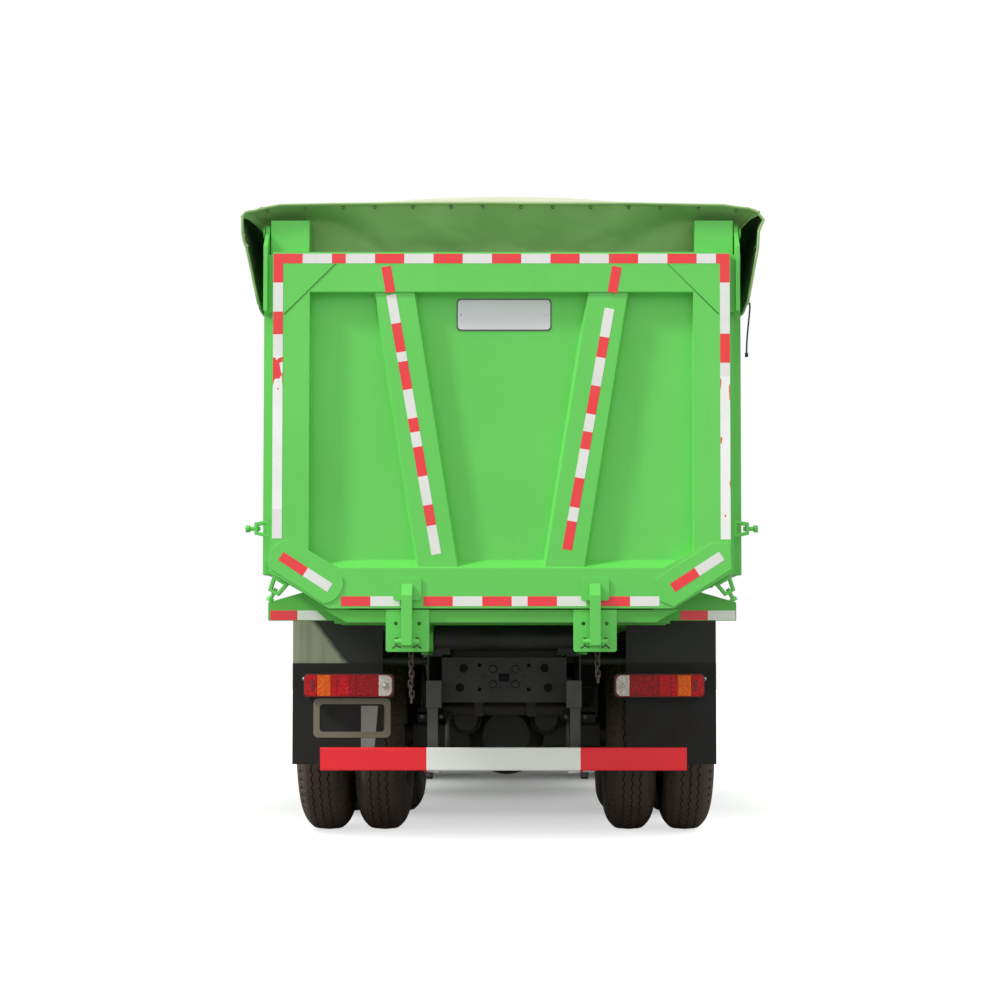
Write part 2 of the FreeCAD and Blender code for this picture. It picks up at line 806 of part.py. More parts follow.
def front_mudguards():
    """Curved guards over the front wheels, each on two arms from the rail."""
    shapes = []
    inner = front_track / 2 - tyre_width / 2 - 65
    outer = half_cab - 10
    for side in (-1, 1):
        parts = [ring_guard(front_guard_radius, guard_sheet, side * inner, side * outer,
                            front_axle_y, axle_z, 20, 170)]
        for turn in (155.0, 40.0):
            angle = math.radians(turn)
            reach = front_guard_radius + guard_sheet + 14
            y = front_axle_y + reach * math.cos(angle)
            z = axle_z + reach * math.sin(angle)
            parts.append(box(side * frame_half, side * (outer - 90), y - 18, y + 18, z - 18, z + 18))
        shapes.append(fused(parts))
    return shapes


rear_guard_z = 1172.0
guard_panel_top = floor_z - 25
guard_tube_radius = 20.0
guard_tube_z = 1005.0
guard_front_low = 820.0
guard_front_tube_z = 840.0
guard_strut_x = 900.0
guard_lip = 45.0
flap_inset = 900.0
flap_x0 = 680.0
flap_x1 = half_tub - 12
flap_low = 429.0
flap_sheet = 10.0
flap_lap = 60.0
guard_low = 932.0


def rear_mudguards():
    """One guard over both drive wheels on each side, with cross tubes from the rail."""
    rear_y = gate_y + flap_inset
    bend_y = mid_axle_y + guard_front_reach - 240
    front_end_y = mid_axle_y + guard_front_reach
    top_z = rear_guard_z + guard_sheet
    middle_y = trunnion_y
    shapes = []
    for side in (-1, 1):
        inner = side * flap_x0
        outer = side * flap_x1
        top = box(inner, outer, rear_y, bend_y, rear_guard_z, top_z)
        slope = plate_x([
            (bend_y, top_z), (bend_y, rear_guard_z), (front_end_y, guard_front_low),
            (front_end_y + 10, guard_front_low + guard_sheet),
        ], inner, outer)
        back = box(inner, outer, rear_y, rear_y + guard_sheet, guard_low, guard_panel_top)
        edge = side * (flap_x1 - guard_sheet)
        lip = box(edge, outer, rear_y, bend_y, rear_guard_z - guard_lip, top_z)
        parts = [top, slope, back, lip]
        tubes = (
            (rear_y + 24, guard_tube_z), (middle_y, guard_tube_z), (front_end_y - 22, guard_front_tube_z),
        )
        for y, level in tubes:
            parts.append(rod(guard_tube_radius, point(side * frame_half, y, level),
                             point(side * (flap_x1 - 30), y, level)))
        strut = side * guard_strut_x
        parts.append(box(strut - guard_tube_radius, strut + guard_tube_radius, middle_y - guard_tube_radius,
                         middle_y + guard_tube_radius, guard_tube_z, rear_guard_z + guard_sheet / 2))
        shapes.append(fused(parts))
    return shapes


def mudflaps():
    """Rubber flaps below the rear guard panels."""
    rear_y = gate_y + flap_inset
    return both_sides(box(flap_x0, flap_x1, rear_y - flap_sheet, rear_y - seat_gap, flap_low,
                          guard_low + flap_lap))


lamp_width = 500.0
lamp_height = 131.0
lamp_depth = 75.0
tail_lamp_x = 860.0
tail_lamp_z = 868.0


def tail_lamps():
    """Long combination lamps in front of the flaps' upper part."""
    rear_y = gate_y + flap_inset - flap_sheet
    lamp = box(tail_lamp_x - lamp_width / 2, tail_lamp_x + lamp_width / 2, rear_y - lamp_depth,
               rear_y - seat_gap, tail_lamp_z - lamp_height / 2, tail_lamp_z + lamp_height / 2)
    lamp = rounded(lamp, 22.0, lambda edge: along(edge, AHEAD))
    return both_sides(lamp)


guard_bar_x = 995.0
guard_bar_z0 = 409.0
guard_bar_z1 = 534.0
guard_bar_inset = 620.0
guard_bar_depth = 50.0
sleeve_inner = 343.0
sleeve_outer = 427.0
sleeve_depth = 84.0
sleeve_height = 150.0
guard_post_inner = 363.0
guard_post_outer = 421.0


def underrun_guard():
    """Rear bar on two posts bolted to the frame's end."""
    bar_y = gate_y + guard_bar_inset
    bar_front = bar_y + guard_bar_depth
    bar = box(-guard_bar_x, guard_bar_x, bar_y, bar_front, guard_bar_z0, guard_bar_z1)
    bar = rounded(bar, 8.0, lambda edge: along(edge, RIGHT))
    parts = [bar]
    rear = frame_rear_y - sleeve_depth
    front = frame_rear_y - seat_gap
    sleeve_low = frame_bottom - 3
    for side in (-1, 1):
        parts.append(box(side * sleeve_inner, side * sleeve_outer, rear, front, sleeve_low,
                         sleeve_low + sleeve_height))
        parts.append(box(side * guard_post_inner, side * guard_post_outer, rear + 9, front - 17,
                         guard_bar_z0 + 31, sleeve_low))
        parts.append(box(side * (guard_post_inner - 13), side * (guard_post_outer + 11), bar_front,
                         front - 17, guard_bar_z0 - 15, guard_bar_z0 + 111))
    return fused(parts)


bracket_x0 = 300.0
bracket_x1 = 385.0
pivot_pin_inner = 340.0
pivot_pin_outer = 475.0


def tipping_pivot():
    """Cross tube on two brackets at the frame's end, with a pin at each side."""
    tube = rod(pivot_tube_radius, point(-bracket_x1, pivot_y, pivot_z), point(bracket_x1, pivot_y, pivot_z))
    parts = [tube]
    for side in (-1, 1):
        parts.append(box(side * bracket_x0, side * bracket_x1, pivot_y - 35, pivot_y + 90,
                         frame_top, pivot_z))
        parts.append(rod(pivot_pin_radius, point(side * pivot_pin_inner, pivot_y, pivot_z),
                         point(side * pivot_pin_outer, pivot_y, pivot_z)))
    return fused(parts)


cab_bracket_x0 = 352.0
cab_bracket_x1 = 418.0
cab_pin_radius = 18.0
cab_beam_half = 860.0
cab_beam_low = 1165.0
cab_beam_inset = 60.0
cab_beam_width = 70.0


def cab_supports():
    """Front pivot brackets and the rear cross beam that the cab rests on."""
    pin_y = front_y - cab_pivot_inset
    low = cab_pivot_z - 65
    parts = []
    for side in (-1, 1):
        x0 = side * cab_bracket_x0
        x1 = side * cab_bracket_x1
        bracket = box(x0, x1, frame_front_y, pin_y + 35, low, cab_pivot_z + 35)
        foot = box(x0, x1, frame_front_y, frame_front_y + 30, low, frame_top)
        pin = rod(cab_pin_radius, point(x1 - side * cab_pin_radius, pin_y, cab_pivot_z),
                  point(x1 + side * 44, pin_y, cab_pivot_z))
        parts.append(fused([bracket, foot, pin]))
    rear = cab_rear_y + cab_beam_inset
    front = rear + cab_beam_width
    for side in (-1, 1):
        inner = side * (frame_half - rail_flange)
        beam = box(inner, side * cab_beam_half, rear, front, cab_beam_low, cab_floor_z - seat_gap)
        leg = box(inner, side * frame_half, rear, front, frame_top, cab_beam_low)
        parts.append(fused([beam, leg]))
    return parts


# Steering

ear_gap = 60.0
ear_height = 42.0
knuckle_radius = 48.0
knuckle_back = 51.0
knuckle_face = 75.0
steer_arm_x = kingpin_x - 50
steer_arm_sheet = 26.0
tie_rod_radius = 18.0


def knuckle(side):
    """Steering knuckle: two ears on the kingpin, the spindle and the steering arm."""
    parts = []
    reach = ear_gap + ear_height
    pin_low = axle_z - reach
    rear = front_axle_y - knuckle_radius
    front = front_axle_y + knuckle_radius
    for low in (axle_z + ear_gap, pin_low):
        parts.append(Part.makeCylinder(knuckle_radius, ear_height, point(side * kingpin_x, front_axle_y, low),
                                       UP))
        parts.append(box(side * kingpin_x, side * (kingpin_x + knuckle_face), rear, front, low,
                         low + ear_height))
    parts.append(box(side * (kingpin_x + knuckle_back), side * (kingpin_x + knuckle_face), rear, front,
                     pin_low, axle_z + reach))
    parts.append(Part.makeCylinder(kingpin_radius, 2 * reach, point(side * kingpin_x, front_axle_y, pin_low),
                                   UP))
    spindle_end = front_track / 2 + twin_spacing / 2 + 30
    parts.append(rod(spindle_radius, point(side * (kingpin_x + 60), front_axle_y, axle_z),
                     point(side * spindle_end, front_axle_y, axle_z)))
    arm = plate_z([
        (side * (kingpin_x - 20), front_axle_y - 20), (side * (kingpin_x + 20), front_axle_y - 30),
        (side * (steer_arm_x + 18), front_axle_y - steer_arm - 20),
        (side * (steer_arm_x - 22), front_axle_y - steer_arm - 20),
    ], pin_low, pin_low + steer_arm_sheet)
    parts.append(arm)
    return fused(parts)


def tie_rod():
    """Rod that joins the steering arms, just below their ends."""
    rod_y = front_axle_y - steer_arm
    centre = axle_z - ear_gap - ear_height - seat_gap - tie_rod_radius
    end = steer_arm_x - 20
    parts = [rod(tie_rod_radius, point(-end, rod_y, centre), point(end, rod_y, centre))]
    for side in (-1, 1):
        parts.append(Part.makeCylinder(30.0, 2 * tie_rod_radius,
                                       point(side * steer_arm_x, rod_y, centre - tie_rod_radius), UP))
    return fused(parts)


# Tipping body

def tub_outline(half, low, high, cut_width, cut_height):
    """Section of the load box with its lower corners cut at a slant."""
    return [
        (-half, high), (-half, low + cut_height), (-half + cut_width, low),
        (half - cut_width, low), (half, low + cut_height), (half, high),
    ]


def tub_side_profile(inset, rear_y):
    """Side view of the load box: its front wall slopes forward above the floor."""
    slant = math.hypot(front_slope_run, front_slope_rise) / front_slope_rise
    knee_z = floor_z + front_slope_rise
    front = body_front_y - inset
    foot = body_front_y - front_slope_run - inset * slant
    high = side_top_z + 20
    return plate_x([(rear_y, floor_z), (foot, floor_z), (front, knee_z), (front, high), (rear_y, high)],
                   -half_tub, half_tub)


headboard_rise = 180.0


def tub():
    """Floor, side walls and front wall of the load box, open on top and behind."""
    outer = plate_y(tub_outline(half_tub, floor_z, side_top_z, chamfer_width, chamfer_height),
                    tub_rear_y, body_front_y)
    outer = outer.common(tub_side_profile(0, tub_rear_y))
    space = plate_y(tub_outline(half_tub - wall, floor_z + wall, side_top_z + 10, chamfer_width - wall / 4,
                                chamfer_height), tub_rear_y - 10, body_front_y)
    space = space.common(tub_side_profile(wall, tub_rear_y - 10))
    head = box(-half_tub, half_tub, body_front_y - wall, body_front_y, side_top_z,
               side_top_z + headboard_rise)
    head = rounded(head, 60.0, lambda edge: along(edge, AHEAD) and edge.Vertexes[0].Z > side_top_z + 1)
    return fused([outer.cut(space), head])


side_rail_half = 60.0
foot_rail_height = 70.0
rib_taper = 14.0


def side_ribs():
    """Upright tapered ribs between the foot rail and the top rail along each side."""
    shapes = []
    x_in = half_tub + seat_gap
    rib_low = floor_z + chamfer_height
    rail_low = side_top_z - side_rail_half
    rail_high = side_top_z + side_rail_half
    span = body_front_y - tub_rear_y - rib_width
    for side in (-1, 1):
        rail = box(side * x_in, side * half_body, tub_rear_y, body_front_y, rail_low, rail_high)
        rail = rounded(rail, 14.0,
                       lambda edge: along(edge, AHEAD) and abs(edge.Vertexes[0].X) > half_body - 1)
        foot = box(side * x_in, side * (half_body - 12), tub_rear_y, body_front_y, rib_low,
                   rib_low + foot_rail_height)
        cap = box(side * (half_tub - wall), side * (half_body - 14), tub_rear_y,
                  body_front_y - wall - seat_gap, side_top_z + seat_gap, rail_high)
        parts = [rail, foot, cap]
        for index in range(rib_count):
            y = tub_rear_y + span * index / (rib_count - 1)
            section = [
                (side * x_in, y), (side * x_in, y + rib_width), (side * half_body, y + rib_width - rib_taper),
                (side * half_body, y + rib_taper),
            ]
            parts.append(plate_z(section, rib_low, side_top_z))
        shapes.append(fused(parts))
    return shapes


long_beam_width = 70.0
pivot_boss_radius = 84.0
cross_beam_count = 11
cross_beam_width = 90.0
first_cross_inset = 560.0
bolster_inset = 250.0
sill_inset = 20.0
bolster_sheet = 60.0
bolster_half = half_tub + 30
wing_tip = 185.0
wing_sheet = 12.0
sill_slant = 115.0
sill_sheet = 30.0


def underframe():
    """Two long beams with the pivot bores, cross beams, the rear bolster and the sill."""
    x0 = bracket_x1 + move_gap
    x1 = x0 + long_beam_width
    low = frame_top + seat_gap
    high = low + beam_height
    frame_front = body_front_y - front_slope_run
    shapes = []
    for side in (-1, 1):
        beam = box(side * x0, side * x1, pivot_y, frame_front, low, high)
        boss = rod(pivot_boss_radius, point(side * x0, pivot_y, pivot_z), point(side * x1, pivot_y, pivot_z))
        tail = box(side * x0, side * x1, gate_y + gate_depth, pivot_y, high - 40, floor_z)
        bore = rod(pivot_pin_radius + seat_gap, point(side * (x0 - 5), pivot_y, pivot_z),
                   point(side * (x1 + 5), pivot_y, pivot_z))
        shapes.append(fused([beam, boss, tail]).cut(bore))
    cross_half = half_tub - chamfer_width
    first = gate_y + first_cross_inset
    pitch = (frame_front - 100 - first) / (cross_beam_count - 1)
    for index in range(cross_beam_count):
        y = first + pitch * index
        shapes.append(box(-cross_half, cross_half, y, y + cross_beam_width, high, floor_z))
    rear = gate_y + bolster_inset
    shapes.append(box(-cross_half, cross_half, rear, rear + 100, high, floor_z))
    shapes.append(box(-bolster_half, bolster_half, rear, rear + bolster_sheet, floor_z - 55, floor_z - 2))
    wing_run = bolster_half - cross_half - wing_tip
    wing_rise = wing_run * chamfer_height / chamfer_width - seat_gap
    for side in (-1, 1):
        shapes.append(plate_y([
            (side * (cross_half - 20), floor_z - 10), (side * bolster_half, floor_z - 10),
            (side * bolster_half, floor_z + 40), (side * (cross_half + wing_run), floor_z + wing_rise),
            (side * cross_half, floor_z - seat_gap),
        ], rear, rear + wing_sheet))
    sill_half = cross_half + 25
    sill_y = gate_y + sill_inset
    sill_foot = sill_half - sill_slant
    shapes.append(plate_y([
        (-sill_half, floor_z - move_gap), (sill_half, floor_z - move_gap), (sill_foot, high),
        (-sill_foot, high),
    ], sill_y, sill_y + sill_sheet))
    shapes.append(box(-sill_foot, sill_foot, sill_y, rear + 20, high, floor_z - move_gap))
    return fused(shapes)


post_flange = 72.0
post_foot_drop = 160.0
pin_head_radius = 30.0


def rear_frame():
    """Portal behind the load box with the raised posts that carry the tailgate's pins."""
    y0 = gate_y + gate_depth + move_gap
    y1 = y0 + post_depth
    inner = post_outer_x - post_flange
    run = chamfer_width + post_outset + 3
    outer = plate_y(tub_outline(post_outer_x, floor_z, post_top_z, run, chamfer_height), y0, y1)
    space = plate_y(tub_outline(inner, floor_z + wall, post_top_z + 10, run - 10, chamfer_height),
                    y0 - 10, y1 + 10)
    parts = [outer.cut(space)]
    pin_y = gate_y + gate_pin_inset
    pin_end = post_outer_x + move_gap + gate_arm_sheet + move_gap
    foot_z = side_top_z - post_foot_drop
    for side in (-1, 1):
        parts.append(plate_y([
            (side * post_inner_x, post_top_z), (side * post_inner_x, side_top_z), (side * inner, foot_z),
            (side * post_outer_x, foot_z), (side * post_outer_x, post_top_z),
        ], y0, y1))
        parts.append(rod(gate_pin_radius, point(side * (post_outer_x - 20), pin_y, gate_pin_z),
                         point(side * (pin_end + 9), pin_y, gate_pin_z)))
        parts.append(rod(pin_head_radius, point(side * pin_end, pin_y, gate_pin_z),
                         point(side * (pin_end + 11), pin_y, gate_pin_z)))
    return fused(parts)


lock_plate_x = 478.0
lock_plate_width = 221.0
lock_plate_low = 1049.0
lock_hole_reach = 59.0
lock_hole_radius = 10.0
lock_hole_z = 1193.0
screw_radius = 11.0
screw_knob_radius = 19.0
upper_latch_rise = 416.0
slant_latch_share = 0.82


def lock_plates():
    """Drilled plates below the sill that the tailgate's latch arms lie against."""
    shapes = []
    y0 = gate_y + sill_inset - 12
    for side in (-1, 1):
        x = side * lock_plate_x
        half = lock_plate_width / 2
        plate = box(x - half, x + half, y0, y0 + 12, lock_plate_low, floor_z - move_gap)
        plate = rounded(plate, 12.0, lambda edge: along(edge, AHEAD) and edge.Vertexes[0].Z < floor_z - 50)
        for reach in (-lock_hole_reach, lock_hole_reach):
            plate = plate.cut(rod(lock_hole_radius, point(x + reach, y0 - 5, lock_hole_z),
                                  point(x + reach, y0 + 20, lock_hole_z)))
        shapes.append(plate)
    return shapes


def screw_latch(x, z, turn):
    """Clamp loop with its screw and knob, built pointing out along +X and turned about Y."""
    y0 = gate_y + gate_depth + move_gap
    y1 = y0 + 40
    loop = plate_y([(-20, -46), (58, -30), (58, 30), (-20, 46)], y0, y1)
    loop = loop.cut(plate_y([(-6, -26), (42, -16), (42, 16), (-6, 26)], y0 - 5, y1 + 5))
    middle = (y0 + y1) / 2
    screw = rod(screw_radius, point(30, middle, 0), point(96, middle, 0))
    knob = rod(screw_knob_radius, point(84, middle, 0), point(104, middle, 0))
    latch = fused([loop, screw, knob])
    latch.rotate(point(0, 0, 0), AHEAD, -turn)
    latch.translate(point(x, 0, z))
    return latch


def side_latches():
    """Screw latches beside the tailgate's lower corners: one on the post, one on the slant."""
    upper = screw_latch(post_outer_x + 20 + seat_gap, floor_z + upper_latch_rise, 0)
    run = chamfer_width + post_outset + 3
    slant = math.atan2(chamfer_height, run)
    reach = 20 + seat_gap
    x = post_outer_x - run * (1 - slant_latch_share) + reach * math.sin(slant)
    z = floor_z + chamfer_height * slant_latch_share - reach * math.cos(slant)
    lower = screw_latch(x, z, math.degrees(slant) - 90)
    return both_sides(upper) + both_sides(lower)


corner_plate_x = 998.0
corner_plate_z = 1456.0
corner_plate_length = 417.0
corner_plate_width = 168.0
corner_plate_turn = 33.0
corner_plate_sheet = 6.0
corner_plate_arch = 41.0
corner_crop = 52.0
gate_bevel = 46.0
recess_corner_run = 156.0
recess_corner_rise = 90.0


def corner_plate(side):
    """Plate across a lower corner: with arched ends on the left, with cropped corners on the right."""
    half = corner_plate_length / 2
    wide = corner_plate_width / 2
    y0 = gate_y - corner_plate_sheet
    if side < 0:
        straight = half - corner_plate_arch
        edges = []
        for end in (-1, 1):
            edges.append(arc_edge(point(end * straight, y0, -wide), point(end * half, y0, 0),
                                  point(end * straight, y0, wide)))
            edges.append(line_edge(point(-straight, y0, end * wide), point(straight, y0, end * wide)))
        face = Part.Face(Part.Wire(Part.__sortEdges__(edges)))
        plate = face.extrude(point(0, corner_plate_sheet, 0))
    else:
        crop = corner_crop
        plate = plate_y([
            (crop / 4 - half, wide), (half - 1.3 * crop, wide), (half, 0.44 * wide), (half, 0.1 * wide),
            (half - crop, -wide), (crop / 5 - half, -wide), (-half - 0.6 * crop, -0.24 * wide),
        ], y0, gate_y)
    plate.rotate(point(0, 0, 0), AHEAD, -side * corner_plate_turn)
    plate.translate(point(side * corner_plate_x, 0, corner_plate_z))
    return plate


def gate_frame():
    """Tailgate: pressed frame with a sunken skin, slanted ribs and corner plates."""
    run = chamfer_width - gate_side_inset
    outline = tub_outline(half_gate, floor_z, gate_top_z, run, chamfer_height)
    whole = plate_y(outline, gate_y, gate_y + gate_depth)
    low = floor_z + gate_rail
    high = gate_top_z - gate_rail
    side = half_gate - gate_stile
    foot = side - recess_corner_run
    skin_y = gate_y + gate_depth - gate_skin
    recess = plate_y([
        (-side, high), (-side, low + recess_corner_rise), (-foot, low), (foot, low),
        (side, low + recess_corner_rise), (side, high),
    ], gate_y - 10, skin_y)
    whole = whole.cut(recess)
    bevel = plate_x([(gate_y, low - 1), (gate_y, low), (skin_y + 1, low + gate_bevel), (skin_y + 1, low - 1)],
                    -foot - 70, foot + 70)
    parts = [whole, bevel]
    half_rib = gate_rib_width / 2
    face_y = gate_y + 10
    for sign in (-1, 1):
        foot_x = sign * gate_rib_foot_x
        section = [
            (foot_x - half_rib - gate_rib_flank, skin_y + 1), (foot_x - half_rib, face_y),
            (foot_x + half_rib, face_y), (foot_x + half_rib + gate_rib_flank, skin_y + 1),
        ]
        corners = [point(x, y, low - 1) for x, y in section]
        face = Part.Face(Part.makePolygon(corners + corners[:1]))
        lean = sign * gate_rib_top_x - foot_x
        parts.append(face.extrude(point(lean, 0, high - low + 2)))
        parts.append(corner_plate(sign))
    return fused(parts)


arm_foot_drop = 297.0
arm_half = 41.0
arm_inset = 30.0
latch_width = 54.0
latch_pin_z = 1100.0
latch_pin_radius = 14.0
latch_pin_half = 62.0
latch_base_half = 72.0
latch_base_low = 1310.0
latch_base_high = 1425.0
latch_base_sheet = 10.0


def gate_arms():
    """Hinge arms on the tailgate's sides and the latch arms with their base plates and cross pins."""
    shapes = []
    pin_y = gate_y + gate_pin_inset
    rear = gate_y + gate_depth
    foot_z = gate_top_z - arm_foot_drop
    x0 = post_outer_x + move_gap
    x1 = x0 + gate_arm_sheet
    for side in (-1, 1):
        arm = plate_x([
            (gate_y + arm_inset, foot_z), (rear + 20, foot_z), (pin_y + arm_half, gate_pin_z - 2 * arm_half),
            (pin_y + arm_half, gate_pin_z), (pin_y - arm_half, gate_pin_z),
            (gate_y + arm_inset, gate_top_z + 40),
        ], side * x0, side * x1)
        packing = box(side * half_gate, side * x0, gate_y + 2 * arm_inset, rear, foot_z, gate_top_z)
        boss = rod(arm_half, point(side * x0, pin_y, gate_pin_z), point(side * x1, pin_y, gate_pin_z))
        bore = rod(gate_pin_radius + seat_gap, point(side * (x0 - 5), pin_y, gate_pin_z),
                   point(side * (x1 + 5), pin_y, gate_pin_z))
        shapes.append(fused([arm, boss, packing]).cut(bore))
        x = side * lock_plate_x
        base = box(x - latch_base_half, x + latch_base_half, gate_y - latch_base_sheet, gate_y,
                   latch_base_low, latch_base_high)
        base = rounded(base, 14.0, lambda edge: along(edge, AHEAD))
        latch = plate_x([
            (gate_y - latch_base_sheet, latch_base_high - 30), (gate_y - latch_reach, latch_base_low + 25),
            (gate_y - latch_reach, latch_pin_z - 18), (gate_y - 10, latch_pin_z - 30),
            (gate_y - 10, latch_base_low - 40), (gate_y - latch_base_sheet, latch_base_low),
        ], x - latch_width / 2, x + latch_width / 2)
        pin = rod(latch_pin_radius, point(x - latch_pin_half, gate_y - 34, latch_pin_z),
                  point(x + latch_pin_half, gate_y - 34, latch_pin_z))
        shapes.append(fused([base, latch, pin]))
    return shapes


def cover_face(offset, y, camber):
    """Closed section of the cover's outside, moved inward by offset, with its roof arched by camber."""
    foot = cover_skirt_x - offset
    corner = cover_half_width - offset
    corner_z = cover_corner_z - offset
    left_foot = point(-foot, y, cover_skirt_z)
    right_foot = point(foot, y, cover_skirt_z)
    left = point(-corner, y, corner_z)
    right = point(corner, y, corner_z)
    return Part.Wire([
        line_edge(left_foot, left), arc_edge(left, point(0, y, corner_z + camber), right),
        line_edge(right, right_foot), line_edge(right_foot, left_foot),
    ])


cover_rear_y = gate_y + 60
cover_front_y = body_front_y + 30
cover_rise_y = cover_rear_y + cover_hem_run
curtain_y = tub_rear_y + move_gap
curtain_overlap = 30.0


def cover_hull(offset, rear_y, front_y):
    """Solid under the cover: flat arch at the rear hem, growing to the full arch at the first bow."""
    hem = cover_face(offset, rear_y, cover_hem_camber)
    full = cover_face(offset, cover_rise_y, cover_camber)
    slope = Part.makeLoft([hem, full], True, True)
    run = Part.Face(full).extrude(point(0, front_y - cover_rise_y, 0))
    return slope.fuse(run)


def cover_sheet():
    """Cover cloth: roof, side skirts, front skirt and the curtain behind the tailgate's posts."""
    cloth = cover_sheet_thickness
    outer = cover_hull(0, cover_rear_y, cover_front_y)
    inner = cover_hull(cloth, cover_rear_y, cover_front_y - cloth)
    reach = 2 * cover_half_width
    shell = outer.cut(inner)
    shell = shell.cut(box(-reach, reach, cover_rear_y - 20, cover_front_y - cloth, 0, cover_skirt_z + 1))
    curtain_half = half_tub - wall - move_gap
    curtain = inner.common(box(-curtain_half, curtain_half, curtain_y, curtain_y + cloth,
                               side_top_z - curtain_overlap, cover_crown_z))
    return fused([shell, curtain])


def cover_bows():
    """Arched bars on short legs that hold the cover up."""
    shapes = []
    gap = cover_sheet_thickness + seat_gap
    first = cover_rise_y
    last = body_front_y - 60
    reach = half_body - 10
    low = side_top_z + side_rail_half
    for index in range(bow_count):
        y = first + (last - first - bow_thickness) * index / (bow_count - 1)
        roof = Part.Face(cover_face(gap, y, cover_camber))
        lower = Part.Face(cover_face(gap + bow_thickness, y, cover_camber))
        band = roof.cut(lower).extrude(point(0, bow_thickness, 0))
        band = band.common(box(-reach, reach, y - 5, y + 2 * bow_thickness, low, cover_crown_z))
        legs = []
        for side in (-1, 1):
            legs.append(box(side * (reach - bow_thickness), side * reach, y, y + bow_thickness, low,
                            cover_corner_z - gap - 10))
        shapes.append(fused([band] + legs))
    return shapes


# Cab

belt_z = 1830.0
nose_top_z = 1500.0
nose_depth = 290.0
screen_head_run = 215.0
belt_run = 40.0


def cab_profile(inset):
    """Side outline of the cab, moved inward by inset."""
    front = cab_front_y - inset
    rear = cab_rear_y + inset
    roof = cab_roof_z - inset
    low = cab_floor_z + inset
    nose = cab_nose_z - 2 * inset
    return [
        (rear, low), (front - nose_depth, low), (front - nose_depth, nose), (front, nose),
        (front - 10, nose_top_z), (front - belt_run, belt_z), (front - screen_head_run, roof - 170),
        (front - 300, roof - 60), (front - 470, roof), (rear + 120, roof), (rear + 20, roof - 70),
        (rear, roof - 150),
    ]


door_inset = 330.0
door_length = 1000.0
door_front_y = cab_front_y - door_inset
door_rear_y = door_front_y - door_length
door_low = cab_floor_z + 10
door_high = cab_roof_z - 130
door_bend_z = 1900.0
door_lean = 120.0
window_low = 1980.0
window_border = 110.0


def door_outline(gap):
    """Door edge as (y, z) points, grown by gap all round."""
    return [
        (door_rear_y - gap, door_low - gap), (door_front_y + gap, door_low - gap),
        (door_front_y + gap, door_bend_z), (door_front_y - door_lean + gap, door_high + gap),
        (door_rear_y - gap, door_high + gap),
    ]


def window_shape(x0, x1):
    """Door window with rounded corners, made solid from x0 to x1."""
    high = door_high - window_border
    block = plate_x([
        (door_rear_y + window_border, window_low), (door_front_y - window_border, window_low),
        (door_front_y - window_border - 100, high), (door_rear_y + window_border, high),
    ], x0, x1)
    return rounded(block, window_corner, lambda edge: along(edge, RIGHT))


window_corner = 45.0
screen_half = half_cab - 130
screen_low = belt_z + 50
screen_high = cab_roof_z - 210
rear_window_half = 620.0
rear_window_low = 2050.0
rear_window_high = 2600.0
panel_margin = 90.0
panel_top_z = belt_z - 50
arm_width = 34.0


def arched_face(half, low, high, corner, place):
    """Face from low to high with its two high corners rounded; place turns (x, level) into a point."""
    bend = corner * (1 - math.sqrt(0.5))
    edges = [
        line_edge(place(-half, low), place(half, low)),
        line_edge(place(corner - half, high), place(half - corner, high)),
    ]
    for side in (-1, 1):
        start = place(side * half, high - corner)
        end = place(side * (half - corner), high)
        edges.append(line_edge(place(side * half, low), start))
        edges.append(arc_edge(start, place(side * (half - bend), high - bend), end))
    return Part.Face(Part.Wire(Part.__sortEdges__(edges)))


def cab_block(inset, corner):
    """Solid of the cab's outside, or of its inside when inset is the wall, with round front corners."""
    half = half_cab - inset
    block = plate_x(cab_profile(inset), -half, half)
    roof = cab_roof_z - inset
    low = cab_nose_z - 3 * cab_wall
    ahead = arched_face(half, low, roof, corner, lambda x, level: point(x, cab_rear_y, level))
    front = cab_front_y - inset
    below = arched_face(half, cab_rear_y, front, corner, lambda x, level: point(x, level, low))
    above = arched_face(half, cab_rear_y, front - belt_run, corner, lambda x, level: point(x, level, belt_z))
    rise = roof - belt_z
    lean = (screen_head_run - belt_run) * rise / (rise - 170)
    plan = below.extrude(UP * (belt_z - low)).fuse(above.extrude(point(0, -lean, rise)))
    return block.common(ahead.extrude(AHEAD * cab_length)).common(plan)


